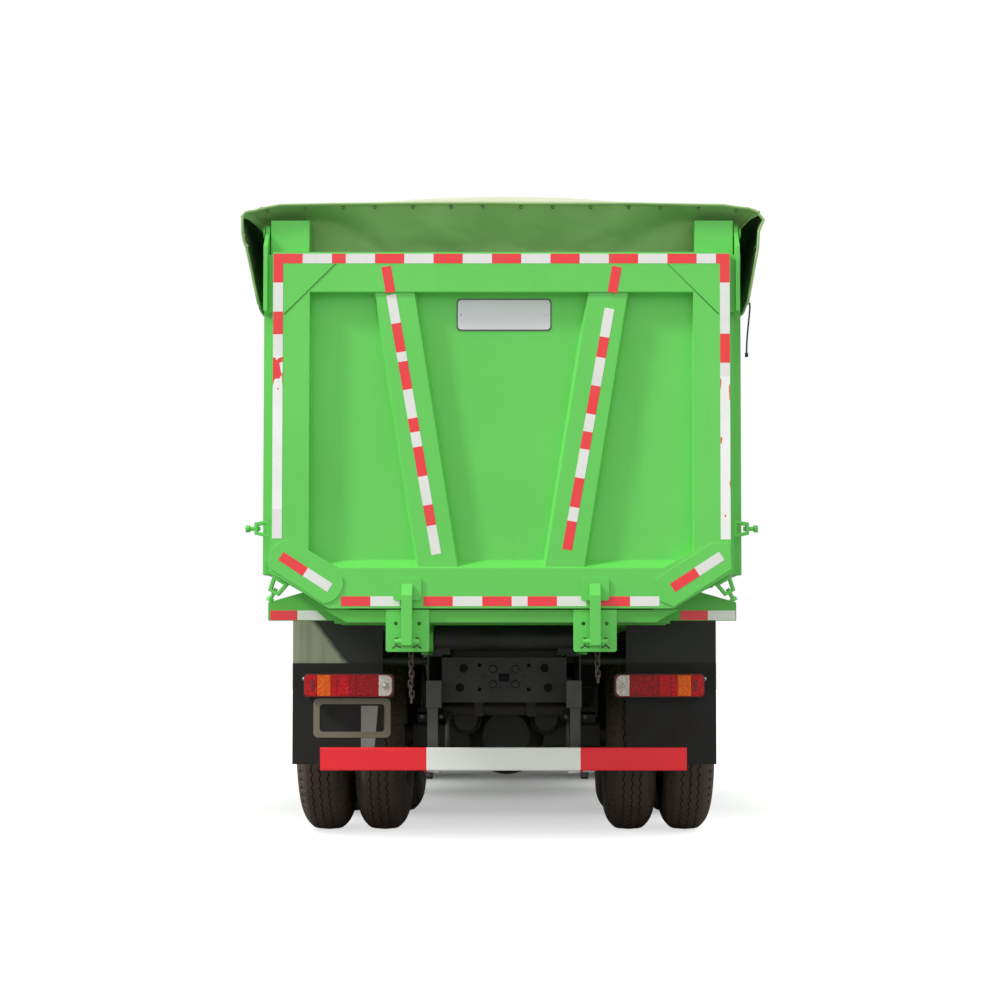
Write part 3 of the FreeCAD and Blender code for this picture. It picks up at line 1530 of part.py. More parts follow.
def cab_shell():
    """Cab walls, roof, floor and engine tunnel, with door, windscreen and rear openings."""
    shell = cab_block(0, cab_corner_radius).cut(cab_block(cab_wall, cab_corner_radius - cab_wall))
    tunnel_end = cab_front_y - 340
    tunnel = box(-tunnel_half_width, tunnel_half_width, cab_rear_y + 5, tunnel_end, cab_floor_z,
                 tunnel_top_z)
    shell = shell.fuse(tunnel)
    under = box(-tunnel_half_width + 20, tunnel_half_width - 20, cab_rear_y - 10, tunnel_end - 20,
                cab_floor_z - 10, tunnel_top_z - 25)
    shell = shell.cut(under)
    reach = 2 * half_cab
    shell = shell.cut(plate_x(door_outline(move_gap), -reach, reach))
    shell = shell.cut(box(-half_cab + panel_margin, half_cab - panel_margin, cab_front_y - 80,
                          cab_front_y + 20, cab_nose_z - 10, panel_top_z))
    screen = box(-screen_half, screen_half, cab_front_y - 300, cab_front_y + 10, screen_low, screen_high)
    screen = rounded(screen, window_corner, lambda edge: along(edge, AHEAD))
    shell = shell.cut(screen)
    rear_window = box(-rear_window_half, rear_window_half, cab_rear_y - 10, cab_rear_y + cab_wall + 10,
                      rear_window_low, rear_window_high)
    shell = shell.cut(rear_window)
    arms = []
    pin_y = front_y - cab_pivot_inset
    x0 = cab_bracket_x1 + move_gap
    x1 = x0 + arm_width
    sole = cab_floor_z + 4
    for side in (-1, 1):
        arm = plate_x([
            (pin_y - 34, cab_pivot_z), (pin_y + 34, cab_pivot_z), (pin_y + 34, sole), (pin_y - 230, sole),
            (pin_y - 230, cab_floor_z - 34), (pin_y - 60, cab_floor_z - 60),
        ], side * x0, side * x1)
        end = rod(38.0, point(side * x0, pin_y, cab_pivot_z), point(side * x1, pin_y, cab_pivot_z))
        bore = rod(cab_pin_radius + seat_gap, point(side * (x0 - 5), pin_y, cab_pivot_z),
                   point(side * (x1 + 5), pin_y, cab_pivot_z))
        arms.append(arm.fuse(end).cut(bore))
    return fused([shell] + arms + door_pins(-1) + door_pins(1))


hinge_pin_radius = 7.0
hinge_barrel_radius = 13.0
hinge_length = 90.0
hinge_x = half_cab + hinge_barrel_radius + 1
hinge_y = door_front_y + 3
hinge_levels = (1430.0, 1780.0)


def door_pins(side):
    """Two hinge pins, each held above and below by a lug on the front pillar."""
    parts = []
    for level in hinge_levels:
        low = level - hinge_length / 2 - 14
        parts.append(Part.makeCylinder(hinge_pin_radius, hinge_length + 28,
                                       point(side * hinge_x, hinge_y, low), UP))
        for lug_z in (low, level + hinge_length / 2 + seat_gap):
            height = 14 - seat_gap
            lug = box(side * half_cab, side * (hinge_x + 4), hinge_y - 2, hinge_y + 30, lug_z,
                      lug_z + height)
            eye = Part.makeCylinder(9.0, height, point(side * hinge_x, hinge_y, lug_z), UP)
            parts.append(lug.fuse(eye))
    return parts


def door_barrels(side):
    """Hinge barrels on the door, with their straps on the outer face."""
    parts = []
    for level in hinge_levels:
        low = level - hinge_length / 2
        barrel = Part.makeCylinder(hinge_barrel_radius, hinge_length, point(side * hinge_x, hinge_y, low), UP)
        strap = box(side * half_cab, side * (half_cab + 6), hinge_y - 90, hinge_y, low, low + hinge_length)
        bore = Part.makeCylinder(hinge_pin_radius + seat_gap, hinge_length + 2,
                                 point(side * hinge_x, hinge_y, low - 1), UP)
        parts.append(barrel.fuse(strap).cut(bore))
    return parts


grille_half = 760.0
grille_low = 1120.0
grille_high = 1560.0
grille_slats = 5
slat_height = 34.0


def front_panel():
    """Front panel below the windscreen with its slatted grille."""
    half = half_cab - panel_margin - seat_gap
    panel = box(-half, half, cab_front_y - 55, cab_front_y - 12, cab_nose_z, panel_top_z - seat_gap)
    panel = rounded(panel, 12.0, lambda edge: edge.CenterOfMass.y > cab_front_y - 13)
    opening = box(-grille_half, grille_half, cab_front_y - 60, cab_front_y, grille_low, grille_high)
    opening = rounded(opening, 50.0, lambda edge: along(edge, AHEAD))
    panel = panel.cut(opening)
    pitch = (grille_high - grille_low) / (grille_slats + 0.5)
    slats = []
    for index in range(grille_slats):
        z = grille_low + pitch * (index + 0.5)
        y = cab_front_y - 20
        slats.append(plate_x([(y - 25, z), (y, z), (y - 8, z + slat_height), (y - 25, z + slat_height)],
                             -grille_half - 2, grille_half + 2))
    for x in (-grille_half / 2, 0, grille_half / 2):
        slats.append(box(x - 10, x + 10, cab_front_y - 50, cab_front_y - 38, grille_low - 2, grille_high + 2))
    bars = [slat.fuse(box(-grille_half / 2 - 5, grille_half / 2 + 5, cab_front_y - 46, cab_front_y - 40,
                          slat.BoundBox.ZMin, slat.BoundBox.ZMax)) for slat in slats[:grille_slats]]
    return fused([panel] + bars + slats[grille_slats:])


glass_thickness = 6.0


def cab_glass():
    """Windscreen and rear window."""
    slope = (screen_head_run - belt_run) / (cab_roof_z - 170 - belt_z)
    low = screen_low + seat_gap
    high = screen_high - seat_gap
    foot = cab_front_y - belt_run - 20 - slope * (low - belt_z)
    head = cab_front_y - belt_run - 20 - slope * (high - belt_z)
    half = screen_half - seat_gap
    screen = plate_x([(foot, low), (foot - glass_thickness, low), (head - glass_thickness, high),
                      (head, high)], -half, half)
    frame = box(-half, half, cab_front_y - 300, cab_front_y + 10, low, high)
    frame = rounded(frame, window_corner, lambda edge: along(edge, AHEAD))
    half = rear_window_half - seat_gap
    rear = box(-half, half, cab_rear_y + 15, cab_rear_y + 15 + glass_thickness,
               rear_window_low + seat_gap, rear_window_high - seat_gap)
    return [screen.common(frame), rear]


wheel_tilt = math.radians(30)
wheel_centre = point(-700.0, cab_front_y - 560, belt_z + 120)
wheel_axis = point(0, -math.sin(wheel_tilt), math.cos(wheel_tilt))
wheel_boss = 30.0
dash_depth = 420.0
column_length = 310.0
column_radius = 32.0


def cab_interior():
    """Dashboard and the steering column."""
    back = cab_front_y - dash_depth
    half = half_cab - cab_wall - seat_gap
    dash = plate_x([
        (cab_front_y - 110, nose_top_z), (cab_front_y - 120, belt_z - 30), (back + 60, belt_z + 50),
        (back, belt_z - 10), (back + 40, nose_top_z),
    ], -half, half)
    dash = rounded(dash, 25.0, lambda edge: along(edge, RIGHT) and edge.CenterOfMass.z > belt_z - 40
                   and edge.CenterOfMass.y < cab_front_y - 130)
    top = wheel_centre - wheel_axis * (wheel_boss + seat_gap)
    column = rod(column_radius, top, top - wheel_axis * column_length)
    return fused([dash, column])


seat_x = 700.0
seat_rear_inset = 430.0
seat_base_top = 1560.0
cushion_half = 250.0
cushion_length = 520.0
cushion_height = 130.0
rest_half = 240.0
rest_top = 2320.0


def seats():
    """Two seats: base, cushion and back rest."""
    shapes = []
    rear = cab_rear_y + seat_rear_inset
    low = cab_floor_z + cab_wall + seat_gap
    for x in (-seat_x, seat_x):
        base = box(x - 190, x + 190, rear + 80, rear + 420, low, seat_base_top)
        cushion = box(x - cushion_half, x + cushion_half, rear, rear + cushion_length, seat_base_top,
                      seat_base_top + cushion_height)
        cushion = rounded(cushion, 40.0, lambda edge: along(edge, AHEAD))
        rest = plate_x([
            (rear - 80, seat_base_top + 40), (rear + 40, seat_base_top + 40), (rear - 60, rest_top),
            (rear - 160, rest_top),
        ], x - rest_half, x + rest_half)
        rest = rounded(rest, 30.0, lambda edge: abs(abs(edge.CenterOfMass.x - x) - rest_half) < 1)
        shapes.append(fused([base, cushion, rest]))
    return shapes


wheel_radius = 215.0


def steering_wheel():
    """Rim on three spokes around its boss."""
    parts = [Part.makeTorus(wheel_radius, 15.0, wheel_centre, UP)]
    parts.append(Part.makeCylinder(42.0, wheel_boss + 20, wheel_centre - UP * wheel_boss, UP))
    for turn in (90, 210, 330):
        angle = math.radians(turn)
        reach = point(math.cos(angle), math.sin(angle), 0) * (wheel_radius - 10)
        parts.append(rod(11.0, wheel_centre, wheel_centre + reach))
    whole = fused(parts)
    whole.rotate(wheel_centre, RIGHT, math.degrees(wheel_tilt))
    return whole


mirror_inner = 1265.0
mirror_outer = 1450.0
mirror_levels = ((1980.0, 2400.0), (1740.0, 1950.0))
mirror_tube = 14.0
mirror_inset = 240.0
mirror_half_depth = 35.0


def mirrors():
    """Mirror heads on their arms beside the windscreen."""
    shapes = []
    y = cab_front_y - mirror_inset
    post_x = mirror_inner + 35
    for side in (-1, 1):
        parts = []
        for low, high in mirror_levels:
            head = box(side * mirror_inner, side * mirror_outer, y - mirror_half_depth,
                       y + mirror_half_depth, low, high)
            head = rounded(head, 25.0, lambda edge: along(edge, AHEAD))
            parts.append(rounded(head, 12.0, lambda edge: edge.CenterOfMass.y > y + mirror_half_depth - 1))
        for level in (belt_z - 30, door_high - 450):
            parts.append(rod(mirror_tube, point(side * (half_cab + seat_gap), y, level),
                             point(side * post_x, y, level)))
        parts.append(rod(mirror_tube, point(side * post_x, y, belt_z - 40),
                         point(side * post_x, y, door_high - 440)))
        shapes.append(fused(parts))
    return shapes


def sun_visor():
    """Visor along the upper edge of the windscreen."""
    y = cab_front_y - screen_head_run
    z = cab_roof_z - 180
    half = half_cab - 150
    blade = plate_x([(y + 20, z), (y + 130, z - 60), (y + 135, z - 45), (y + 22, z + 18)], -half, half)
    stays = []
    outline = [(y + 1, z + 10), (y + 30, z - 5), (y + 30, z + 12), (y - 4, z + 28)]
    for x in (-half + 150, -half / 3, half / 3 - 30, half - 180):
        stays.append(plate_x(outline, x, x + 30))
    return fused([blade] + stays)


handle_y = door_rear_y + 70
handle_length = 170.0
handle_gap = 8.0
handle_recess = 22.0
swage_depth = 5.0


def door(side):
    """Door leaf with its window cut, a swage line and the handle's recess."""
    inner = side * (half_cab - cab_wall)
    outer = side * half_cab
    leaf = plate_x(door_outline(0), inner, outer)
    leaf = leaf.cut(window_shape(side * (half_cab - 2 * cab_wall), side * (half_cab + cab_wall)))
    swage = box(outer, side * (half_cab - swage_depth), door_rear_y - 1, door_front_y + 1, belt_z - 60,
                belt_z - 30)
    recess = box(outer, side * (half_cab - handle_recess), handle_y, handle_y + handle_length, belt_z - 10,
                 belt_z + 60)
    recess = rounded(recess, 15.0, lambda edge: along(edge, RIGHT))
    start = handle_y + handle_gap
    handle = box(outer, side * (half_cab - 8), start, handle_y + handle_length - handle_gap, belt_z + 24,
                 belt_z + 44)
    foot = box(side * (half_cab - handle_recess - 1), outer, start, start + handle_recess, belt_z + 26,
               belt_z + 42)
    grip = handle.fuse(foot)
    return fused([leaf.cut(swage).cut(recess), grip] + door_barrels(side))


def door_glass(side):
    middle = half_cab - cab_wall / 2
    half = glass_thickness / 2
    return window_shape(side * (middle - half), side * (middle + half))


# Hoist

hoist_low = hoist_base_z - 90
trunnion_pin_radius = 35.0
cradle_inner = 125.0
cradle_outer = 190.0


def hoist_tube():
    """Outer tube of the hoist on its two trunnions."""
    bore = hoist_radius - hoist_stage_step
    high = hoist_low + hoist_tube_length
    tube = pipe(hoist_radius, bore, point(0, hoist_y, hoist_low), point(0, hoist_y, high))
    foot = rod(hoist_radius, point(0, hoist_y, hoist_low - 20), point(0, hoist_y, hoist_low))
    collar = pipe(hoist_radius + 8, bore, point(0, hoist_y, high - 60), point(0, hoist_y, high))
    pins = []
    for side in (-1, 1):
        pins.append(rod(trunnion_pin_radius, point(side * (bore + 2), hoist_y, hoist_base_z),
                        point(side * (cradle_outer + 10), hoist_y, hoist_base_z)))
    return fused([tube, foot, collar] + pins)


def hoist_cradle():
    """Cross frame on the rails with the two trunnion bearings."""
    parts = []
    for side in (-1, 1):
        block = box(side * cradle_inner, side * cradle_outer, hoist_y - 60, hoist_y + 60, frame_top + 1,
                    hoist_base_z + 60)
        block = rounded(block, 40.0, lambda edge: along(edge, RIGHT) and edge.CenterOfMass.z > hoist_base_z)
        bore = rod(trunnion_pin_radius + seat_gap, point(side * (cradle_inner - 5), hoist_y, hoist_base_z),
                   point(side * (cradle_outer + 20), hoist_y, hoist_base_z))
        sill = box(side * cradle_inner, side * (frame_half - 5), hoist_y - 60, hoist_y + 60, frame_top,
                   frame_top + 30)
        parts.append(block.fuse(sill).cut(bore))
    return parts


hoist_stages = 4
eye_radius = 52.0
eye_bore = 25.0
eye_half = 32.0
neck_radius = 26.0
cheek_gap = 10.0
cheek_sheet = 24.0
bracket_sheet = 14.0


def hoist_stage(number):
    """One telescopic stage; the last is a solid rod with the eye."""
    outer = hoist_radius - hoist_stage_step * number - slide_gap
    bore = hoist_radius - hoist_stage_step * (number + 1)
    low = hoist_low + 2
    high = hoist_low + hoist_tube_length + hoist_stage_show * number
    if number < hoist_stages:
        return pipe(outer, bore, point(0, hoist_y, low), point(0, hoist_y, high))
    stem = rod(outer, point(0, hoist_y, low), point(0, hoist_y, high))
    neck = rod(neck_radius, point(0, hoist_y, high - 5), point(0, hoist_y, hoist_eye_z))
    eye = rod(eye_radius, point(-eye_half, hoist_y, hoist_eye_z),
              point(eye_half, hoist_y, hoist_eye_z))
    hole = rod(eye_bore, point(-2 * eye_half, hoist_y, hoist_eye_z),
               point(2 * eye_half, hoist_y, hoist_eye_z))
    return fused([stem, neck, eye]).cut(hole)


def hoist_bracket():
    """Cheeks on the load box's front wall, one each side of the hoist's eye."""
    inner = eye_half + cheek_gap
    parts = []
    for side in (-1, 1):
        parts.append(plate_x([
            (body_front_y, hoist_eye_z - 160), (body_front_y, hoist_eye_z + 120),
            (hoist_y + 55, hoist_eye_z + 50), (hoist_y + 55, hoist_eye_z - 50),
        ], side * inner, side * (inner + cheek_sheet)))
    plate = box(-150, 150, body_front_y, body_front_y + bracket_sheet, hoist_eye_z - 180, hoist_eye_z + 140)
    return fused([plate] + parts)


os.makedirs("parts", exist_ok=True)

for side, name in ((-1, "left"), (1, "right")):
    front_tyre, front_rim = front_wheel(side)
    save("tyre_front_" + name, [front_tyre])
    save("rim_front_" + name, [front_rim])
    for axle_y, place in ((mid_axle_y, "mid"), (rear_axle_y, "rear")):
        tyres, rims = twin_wheel(side, axle_y)
        save("tyres_" + place + "_" + name, tyres)
        save("rims_" + place + "_" + name, [rims])
    save("knuckle_" + name, [knuckle(side)])
    save("door_" + name, [door(side)])
    save("door_glass_" + name, [door_glass(side)])

save("frame_rails", [frame_rails()])
save("rear_crossmember", [rear_crossmember()])
save("axles", [front_axle(), drive_axle(mid_axle_y), drive_axle(rear_axle_y)])
save("leaf_springs", leaf_springs())
save("driveline", engine() + propeller_shafts())
save("fuel_tank", [fuel_tank()])
save("side_equipment", side_equipment())
save("exhaust", [exhaust()])
save("front_bumper", [front_bumper()])
save("headlamps", headlamps())
save("entry_steps", entry_steps())
save("mudguards", front_mudguards() + rear_mudguards())
save("mudflaps", mudflaps())
save("tail_lamps", tail_lamps())
save("underrun_guard", [underrun_guard()])
save("tipping_pivot", [tipping_pivot()])
save("cab_supports", cab_supports() + hoist_cradle())
save("tie_rod", [tie_rod()])
save("tub", [tub().fuse(hoist_bracket())])
save("side_ribs", side_ribs())
save("underframe", [underframe()])
save("rear_frame", [rear_frame()])
save("lock_plates", lock_plates() + side_latches())
save("gate_frame", [gate_frame()])
save("gate_arms", gate_arms())
save("cover_sheet", [cover_sheet()])
save("cover_bows", cover_bows())
save("cab_shell", [cab_shell()])
save("front_panel", [front_panel()])
save("cab_glass", cab_glass())
save("cab_interior", [cab_interior()])
save("seats", seats())
save("steering_wheel", [steering_wheel()])
save("mirrors", mirrors())
save("sun_visor", [sun_visor()])
save("hoist_tube", [hoist_tube()])
for number in range(1, hoist_stages + 1):
    save("hoist_stage_" + str(number), [hoist_stage(number)])
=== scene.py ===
import math

import bmesh
import bpy
from mathutils import Matrix, Vector, noise


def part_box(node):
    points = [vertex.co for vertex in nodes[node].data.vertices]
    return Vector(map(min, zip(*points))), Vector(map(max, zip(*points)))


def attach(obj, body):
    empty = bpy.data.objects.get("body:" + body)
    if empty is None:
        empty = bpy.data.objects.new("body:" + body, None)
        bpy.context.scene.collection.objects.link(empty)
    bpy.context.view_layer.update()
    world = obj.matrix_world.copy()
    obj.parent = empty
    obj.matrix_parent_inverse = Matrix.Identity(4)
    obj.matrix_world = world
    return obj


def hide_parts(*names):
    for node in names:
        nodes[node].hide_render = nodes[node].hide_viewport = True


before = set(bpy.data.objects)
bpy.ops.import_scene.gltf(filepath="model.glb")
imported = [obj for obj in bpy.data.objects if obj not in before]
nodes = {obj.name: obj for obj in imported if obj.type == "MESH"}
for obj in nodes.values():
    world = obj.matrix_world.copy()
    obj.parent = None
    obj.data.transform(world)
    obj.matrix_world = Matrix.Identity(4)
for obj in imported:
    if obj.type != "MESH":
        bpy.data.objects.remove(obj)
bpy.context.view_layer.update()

# Places taken from the frame, in metres: +X right, +Y forward, +Z up
gate_low, gate_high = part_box("gate_frame")
corner_plate_sheet = 0.006
gate_y = gate_low.y + corner_plate_sheet
gate_half = gate_high.x
gate_top = gate_high.z
gate_foot = gate_low.z
plate_y = gate_y - corner_plate_sheet
cover_low, cover_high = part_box("cover_sheet")
tub_low, tub_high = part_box("tub")
cab_low, cab_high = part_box("cab_shell")
AXLES = {
    "front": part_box("tyre_front_left"),
    "mid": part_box("tyres_mid_left"),
    "rear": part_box("tyres_rear_left"),
}
tyre_radius = (AXLES["rear"][1].z - AXLES["rear"][0].z) / 2
tyre_width = AXLES["front"][1].x - AXLES["front"][0].x
axle_z = AXLES["rear"][0].z + tyre_radius

corner_x = cover_high.x - 0.002
skirt_x = 1.270
skirt_z = cover_low.z
cover_corner_z = 3.358
full_camber = cover_high.z - cover_corner_z - 0.003
hem_camber = 0.018
cover_rear_y = cover_low.y + 0.004
cover_front_y = cover_high.y - 0.004
first_bow_y = gate_y + 0.48
corner_round = 0.045
bow_count = 6
sag = 0.018
hem_radius = 0.007
eyelet_pitch = 0.186

RIGHT = Vector((1, 0, 0))
AHEAD = Vector((0, 1, 0))
UP = Vector((0, 0, 1))
SIDES = ((-1, "left"), (1, "right"))


# Camera

camera_place = Vector((0.182, gate_y - 9.08, 0.98))
camera_pitch = math.radians(2.1)
camera_lens = 64.2


def make_camera():
    """The photograph's low view from straight behind."""
    data = bpy.data.cameras.new("camera")
    data.lens = camera_lens
    data.sensor_width = 36.0
    data.shift_x = -0.037
    data.shift_y = 0.100
    data.clip_start = 0.1
    data.clip_end = 200.0
    camera = bpy.data.objects.new("camera", data)
    camera.location = camera_place
    camera.rotation_euler = (math.pi / 2 + camera_pitch, 0, 0)
    bpy.context.scene.collection.objects.link(camera)
    bpy.context.scene.camera = camera


# Finishes

class Finish:
    """A material whose nodes are added one by one."""

    def __init__(self, name):
        self.material = bpy.data.materials.new(name)
        self.material.use_nodes = True
        self.tree = self.material.node_tree
        self.shader = self.tree.nodes["Principled BSDF"]
        self.place = self.add("ShaderNodeTexCoord").outputs["Object"]

    def put(self, socket, value):
        if isinstance(value, bpy.types.NodeSocket):
            self.tree.links.new(value, socket)
        else:
            socket.default_value = value

    def add(self, kind, values=None, **settings):
        node = self.tree.nodes.new(kind)
        for key, value in settings.items():
            setattr(node, key, value)
        for key, value in (values or {}).items():
            self.put(node.inputs[key], value)
        return node

    def set(self, **values):
        for key, value in values.items():
            self.put(self.shader.inputs[key.replace("_", " ")], value)

    def stretched(self, scale):
        return self.add("ShaderNodeMapping", {"Vector": self.place, "Scale": scale}).outputs[0]

    def noise(self, scale, detail=3.0, stretch=None, rough=0.55):
        place = self.stretched(stretch) if stretch else self.place
        values = {"Vector": place, "Scale": scale, "Detail": detail, "Roughness": rough}
        return self.add("ShaderNodeTexNoise", values).outputs[0]

    def cells(self, scale, feature="F1", stretch=None):
        place = self.stretched(stretch) if stretch else self.place
        values = {"Vector": place, "Scale": scale}
        return self.add("ShaderNodeTexVoronoi", values, feature=feature).outputs[0]

    def bands(self, scale, direction="Z", distortion=0.0, profile="SIN"):
        values = {"Vector": self.place, "Scale": scale, "Distortion": distortion}
        return self.add("ShaderNodeTexWave", values, bands_direction=direction,
                        wave_profile=profile).outputs[1]

    def spread(self, value, low, high, to_low=0.0, to_high=1.0):
        values = {"Value": value, "From Min": low, "From Max": high, "To Min": to_low, "To Max": to_high}
        return self.add("ShaderNodeMapRange", values).outputs[0]

    def math(self, operation, first, second=0.5):
        return self.add("ShaderNodeMath", {0: first, 1: second}, operation=operation).outputs[0]

    def mix(self, factor, first, second):
        node = self.add("ShaderNodeMix", data_type="RGBA")
        self.put(node.inputs[0], factor)
        self.put(node.inputs[6], first)
        self.put(node.inputs[7], second)
        return node.outputs[2]

    def axis(self, name):
        return self.add("ShaderNodeSeparateXYZ", {0: self.place}).outputs[name]

    def edges(self, radius):
        """Mask of the edges, from a rounded normal against the true one."""
        soft = self.add("ShaderNodeBevel", {"Radius": radius}, samples=4).outputs[0]
        true = self.add("ShaderNodeNewGeometry").outputs["Normal"]
        dot = self.add("ShaderNodeVectorMath", {0: soft, 1: true}, operation="DOT_PRODUCT")
        return self.math("SUBTRACT", 1.0, dot.outputs["Value"]), soft

    def grime(self, distance):
        """Mask of the inner corners, where dirt lies."""
        occlusion = self.add("ShaderNodeAmbientOcclusion", {"Distance": distance}, samples=4)
        return self.math("SUBTRACT", 1.0, occlusion.outputs["AO"])

    def bump(self, height, strength, distance, normal=None):
        values = {"Height": height, "Strength": strength, "Distance": distance}
        if normal is not None:
            values["Normal"] = normal
        self.put(self.shader.inputs["Normal"], self.add("ShaderNodeBump", values).outputs[0])


def srgb(red, green, blue):
    """Colour from 0 to 255 steps to the linear values of a shader."""
    parts = []
    for step in (red, green, blue):
        share = step / 255
        parts.append(share / 12.92 if share <= 0.04045 else ((share + 0.055) / 1.055) ** 2.4)
    return (*parts, 1.0)


DUST = srgb(142, 128, 104)


def paint(name, colour, shade, bare, rough=0.42, worn=0.35, dusty=0.25, edge=0.004, low=0.9, painted_highlight=0.45):
    """Sprayed enamel: cloudy tone, runs, dust in corners and low down, worn edges, and a painted highlight
    along the edges.
    """
    finish = Finish(name)
    # Lighter copy of the colour, used for the painted edge highlight.
    highlight_colour = tuple(min(1.0, part * 1.25 + 0.06) for part in colour[:3]) + (1.0,)
    cloud = finish.spread(finish.noise(0.9, 5.0), 0.30, 0.70)
    tone = finish.mix(finish.math("MULTIPLY", cloud, 0.55), colour, shade)
    runs = finish.spread(finish.noise(1.0, 4.0, (9, 9, 0.7)), 0.52, 0.78)
    tone = finish.mix(finish.math("MULTIPLY", runs, 0.28), tone, shade)
    corner = finish.spread(finish.grime(0.09), 0.25, 0.95)
    height = finish.spread(finish.axis("Z"), low + 0.9, low - 0.4)
    patches = finish.spread(finish.noise(3.1, 6.0), 0.36, 0.74)
    dirt = finish.math("MULTIPLY", finish.math("MAXIMUM", corner, height), patches)
    tone = finish.mix(finish.math("MULTIPLY", dirt, dusty), tone, DUST)
    mask, soft = finish.edges(edge)
    rub_noise = finish.spread(finish.noise(17.0, 5.0), 0.52, 0.62)
    rub = finish.math("MULTIPLY", finish.spread(mask, 0.03, 0.22), rub_noise)
    # Painted highlight: the lighter copy is laid along the edges, where light catches them.
    tone = finish.mix(finish.math("MULTIPLY", finish.spread(mask, 0.02, 0.20), painted_highlight), tone, highlight_colour)
    tone = finish.mix(finish.math("MULTIPLY", rub, worn), tone, bare)
    roughness = finish.spread(finish.noise(5.0, 5.0), 0.3, 0.7, rough - 0.07, rough + 0.10)
    finish.set(Base_Color=tone, Roughness=finish.math("ADD", roughness, finish.math("MULTIPLY", dirt, 0.25)))
    finish.set(Coat_Weight=0.12, Coat_Roughness=0.25)
    waves = finish.math("MULTIPLY", finish.noise(1.7, 2.0), 3.0)
    ripple = finish.math("ADD", waves, finish.noise(260.0, 1.0))
    finish.bump(ripple, 0.18, 0.0012, soft)
    return finish.material


def tape(name, colour):
    """Retroreflective sheet: fine prism cells under a glossy film."""
    finish = Finish(name)
    cell = finish.spread(finish.cells(230.0, "DISTANCE_TO_EDGE"), 0.0, 0.10)
    soil = finish.spread(finish.noise(6.0, 6.0), 0.45, 0.80)
    tone = finish.mix(finish.math("MULTIPLY", soil, 0.15), colour, DUST)
    seam = finish.mix(cell, srgb(190, 180, 172), tone)
    finish.set(Base_Color=finish.mix(0.93, seam, tone))
    finish.set(Roughness=finish.spread(soil, 0.0, 1.0, 0.28, 0.5), Coat_Weight=0.3, Coat_Roughness=0.2)
    finish.bump(cell, 0.12, 0.0004)
    return finish.material


def rubber(name, colour, dusty):
    """Tyre or flap rubber with road dust that has settled in patches."""
    finish = Finish(name)
    cloud = finish.spread(finish.noise(7.0, 6.0), 0.35, 0.72)
    corner = finish.spread(finish.grime(0.03), 0.15, 0.85)
    dirt = finish.math("MULTIPLY", finish.math("ADD", finish.math("MULTIPLY", cloud, 0.6), corner), dusty)
    finish.set(Base_Color=finish.mix(dirt, colour, srgb(112, 92, 76)))
    finish.set(Roughness=finish.spread(cloud, 0.0, 1.0, 0.62, 0.88), Specular_IOR_Level=0.35)
    finish.bump(finish.noise(190.0, 4.0), 0.25, 0.0010)
    return finish.material


def canvas(name, colour, shade, faded, sunlit_pale=None):
    """Coated cloth: fine weave, long creases, faded patches, and a painted sunlit pale where the roof rises
    above its corners.
    """
    finish = Finish(name)
    cloud = finish.spread(finish.noise(1.6, 6.0), 0.32, 0.70)
    tone = finish.mix(cloud, shade, colour)
    patch = finish.spread(finish.noise(4.2, 6.0, (1, 0.4, 1)), 0.50, 0.75)
    tone = finish.mix(finish.math("MULTIPLY", patch, 0.35), tone, faded)
    if sunlit_pale:
        # Painted light: the roof's top above the corners, ahead of the rear hem, is mixed towards a pale
        # colour as if strongly sunlit.
        height = finish.spread(finish.axis("Z"), cover_corner_z + 0.012, cover_corner_z + 0.060)
        inside = finish.spread(finish.axis("Y"), cover_rear_y + 0.020, cover_rear_y + 0.070)
        sky = finish.math("MULTIPLY", height, inside)
        mottle = finish.spread(finish.noise(2.2, 7.0), 0.30, 0.75, 0.75, 1.0)
        tone = finish.mix(finish.math("MULTIPLY", sky, mottle), tone, sunlit_pale)
    finish.set(Base_Color=tone, Roughness=finish.spread(cloud, 0.0, 1.0, 0.50, 0.68))
    finish.set(Sheen_Weight=0.15, Sheen_Roughness=0.5)
    weave = finish.math("ADD", finish.bands(210.0, "X"), finish.bands(210.0, "Y"))
    crease = finish.noise(9.0, 5.0, (1, 0.35, 1), 0.6)
    finish.bump(finish.math("ADD", finish.math("MULTIPLY", weave, 0.10), crease), 0.45, 0.006)
    return finish.material


def plastic(name, colour, rough=0.45, grain=420.0, dusty=0.2):
    """Moulded plastic with a fine grain."""
    finish = Finish(name)
    cloud = finish.spread(finish.noise(4.0, 5.0), 0.4, 0.75)
    soft = finish.edges(0.003)[1]
    tone = finish.mix(finish.math("MULTIPLY", cloud, dusty), colour, DUST)
    finish.set(Base_Color=tone, Roughness=finish.spread(cloud, 0.0, 1.0, rough, rough + 0.15))
    finish.bump(finish.noise(grain, 2.0), 0.22, 0.0006, soft)
    return finish.material


def metal(name, colour, rough, shine=1.0, brush=None):
    """Bare or plated metal with brushing along one axis."""
    finish = Finish(name)
    cloud = finish.spread(finish.noise(3.0, 6.0), 0.35, 0.75)
    lines = finish.noise(40.0, 3.0, brush or (1, 1, 1))
    dark = tuple(part * 0.55 for part in colour[:3]) + (1.0,)
    soft = finish.edges(0.003)[1]
    finish.set(Base_Color=finish.mix(finish.math("MULTIPLY", cloud, 0.5), colour, dark), Metallic=shine)
    finish.set(Roughness=finish.spread(lines, 0.2, 0.8, rough - 0.08, rough + 0.14))
    finish.bump(lines, 0.12, 0.0006, soft)
    return finish.material


def lens(name, colour, deep):
    """Moulded lamp lens over its reflector: rows of small optics."""
    finish = Finish(name)
    optic = finish.spread(finish.cells(62.0, "F1", (1, 1, 1)), 0.05, 0.65)
    blotch = finish.spread(finish.noise(16.0, 3.0), 0.40, 0.66)
    tone = finish.mix(optic, colour, deep)
    tone = finish.mix(finish.math("MULTIPLY", blotch, 0.6), tone, deep)
    finish.set(Base_Color=tone, Roughness=0.32, Specular_IOR_Level=0.3)
    finish.bump(optic, 0.5, 0.002)
    return finish.material


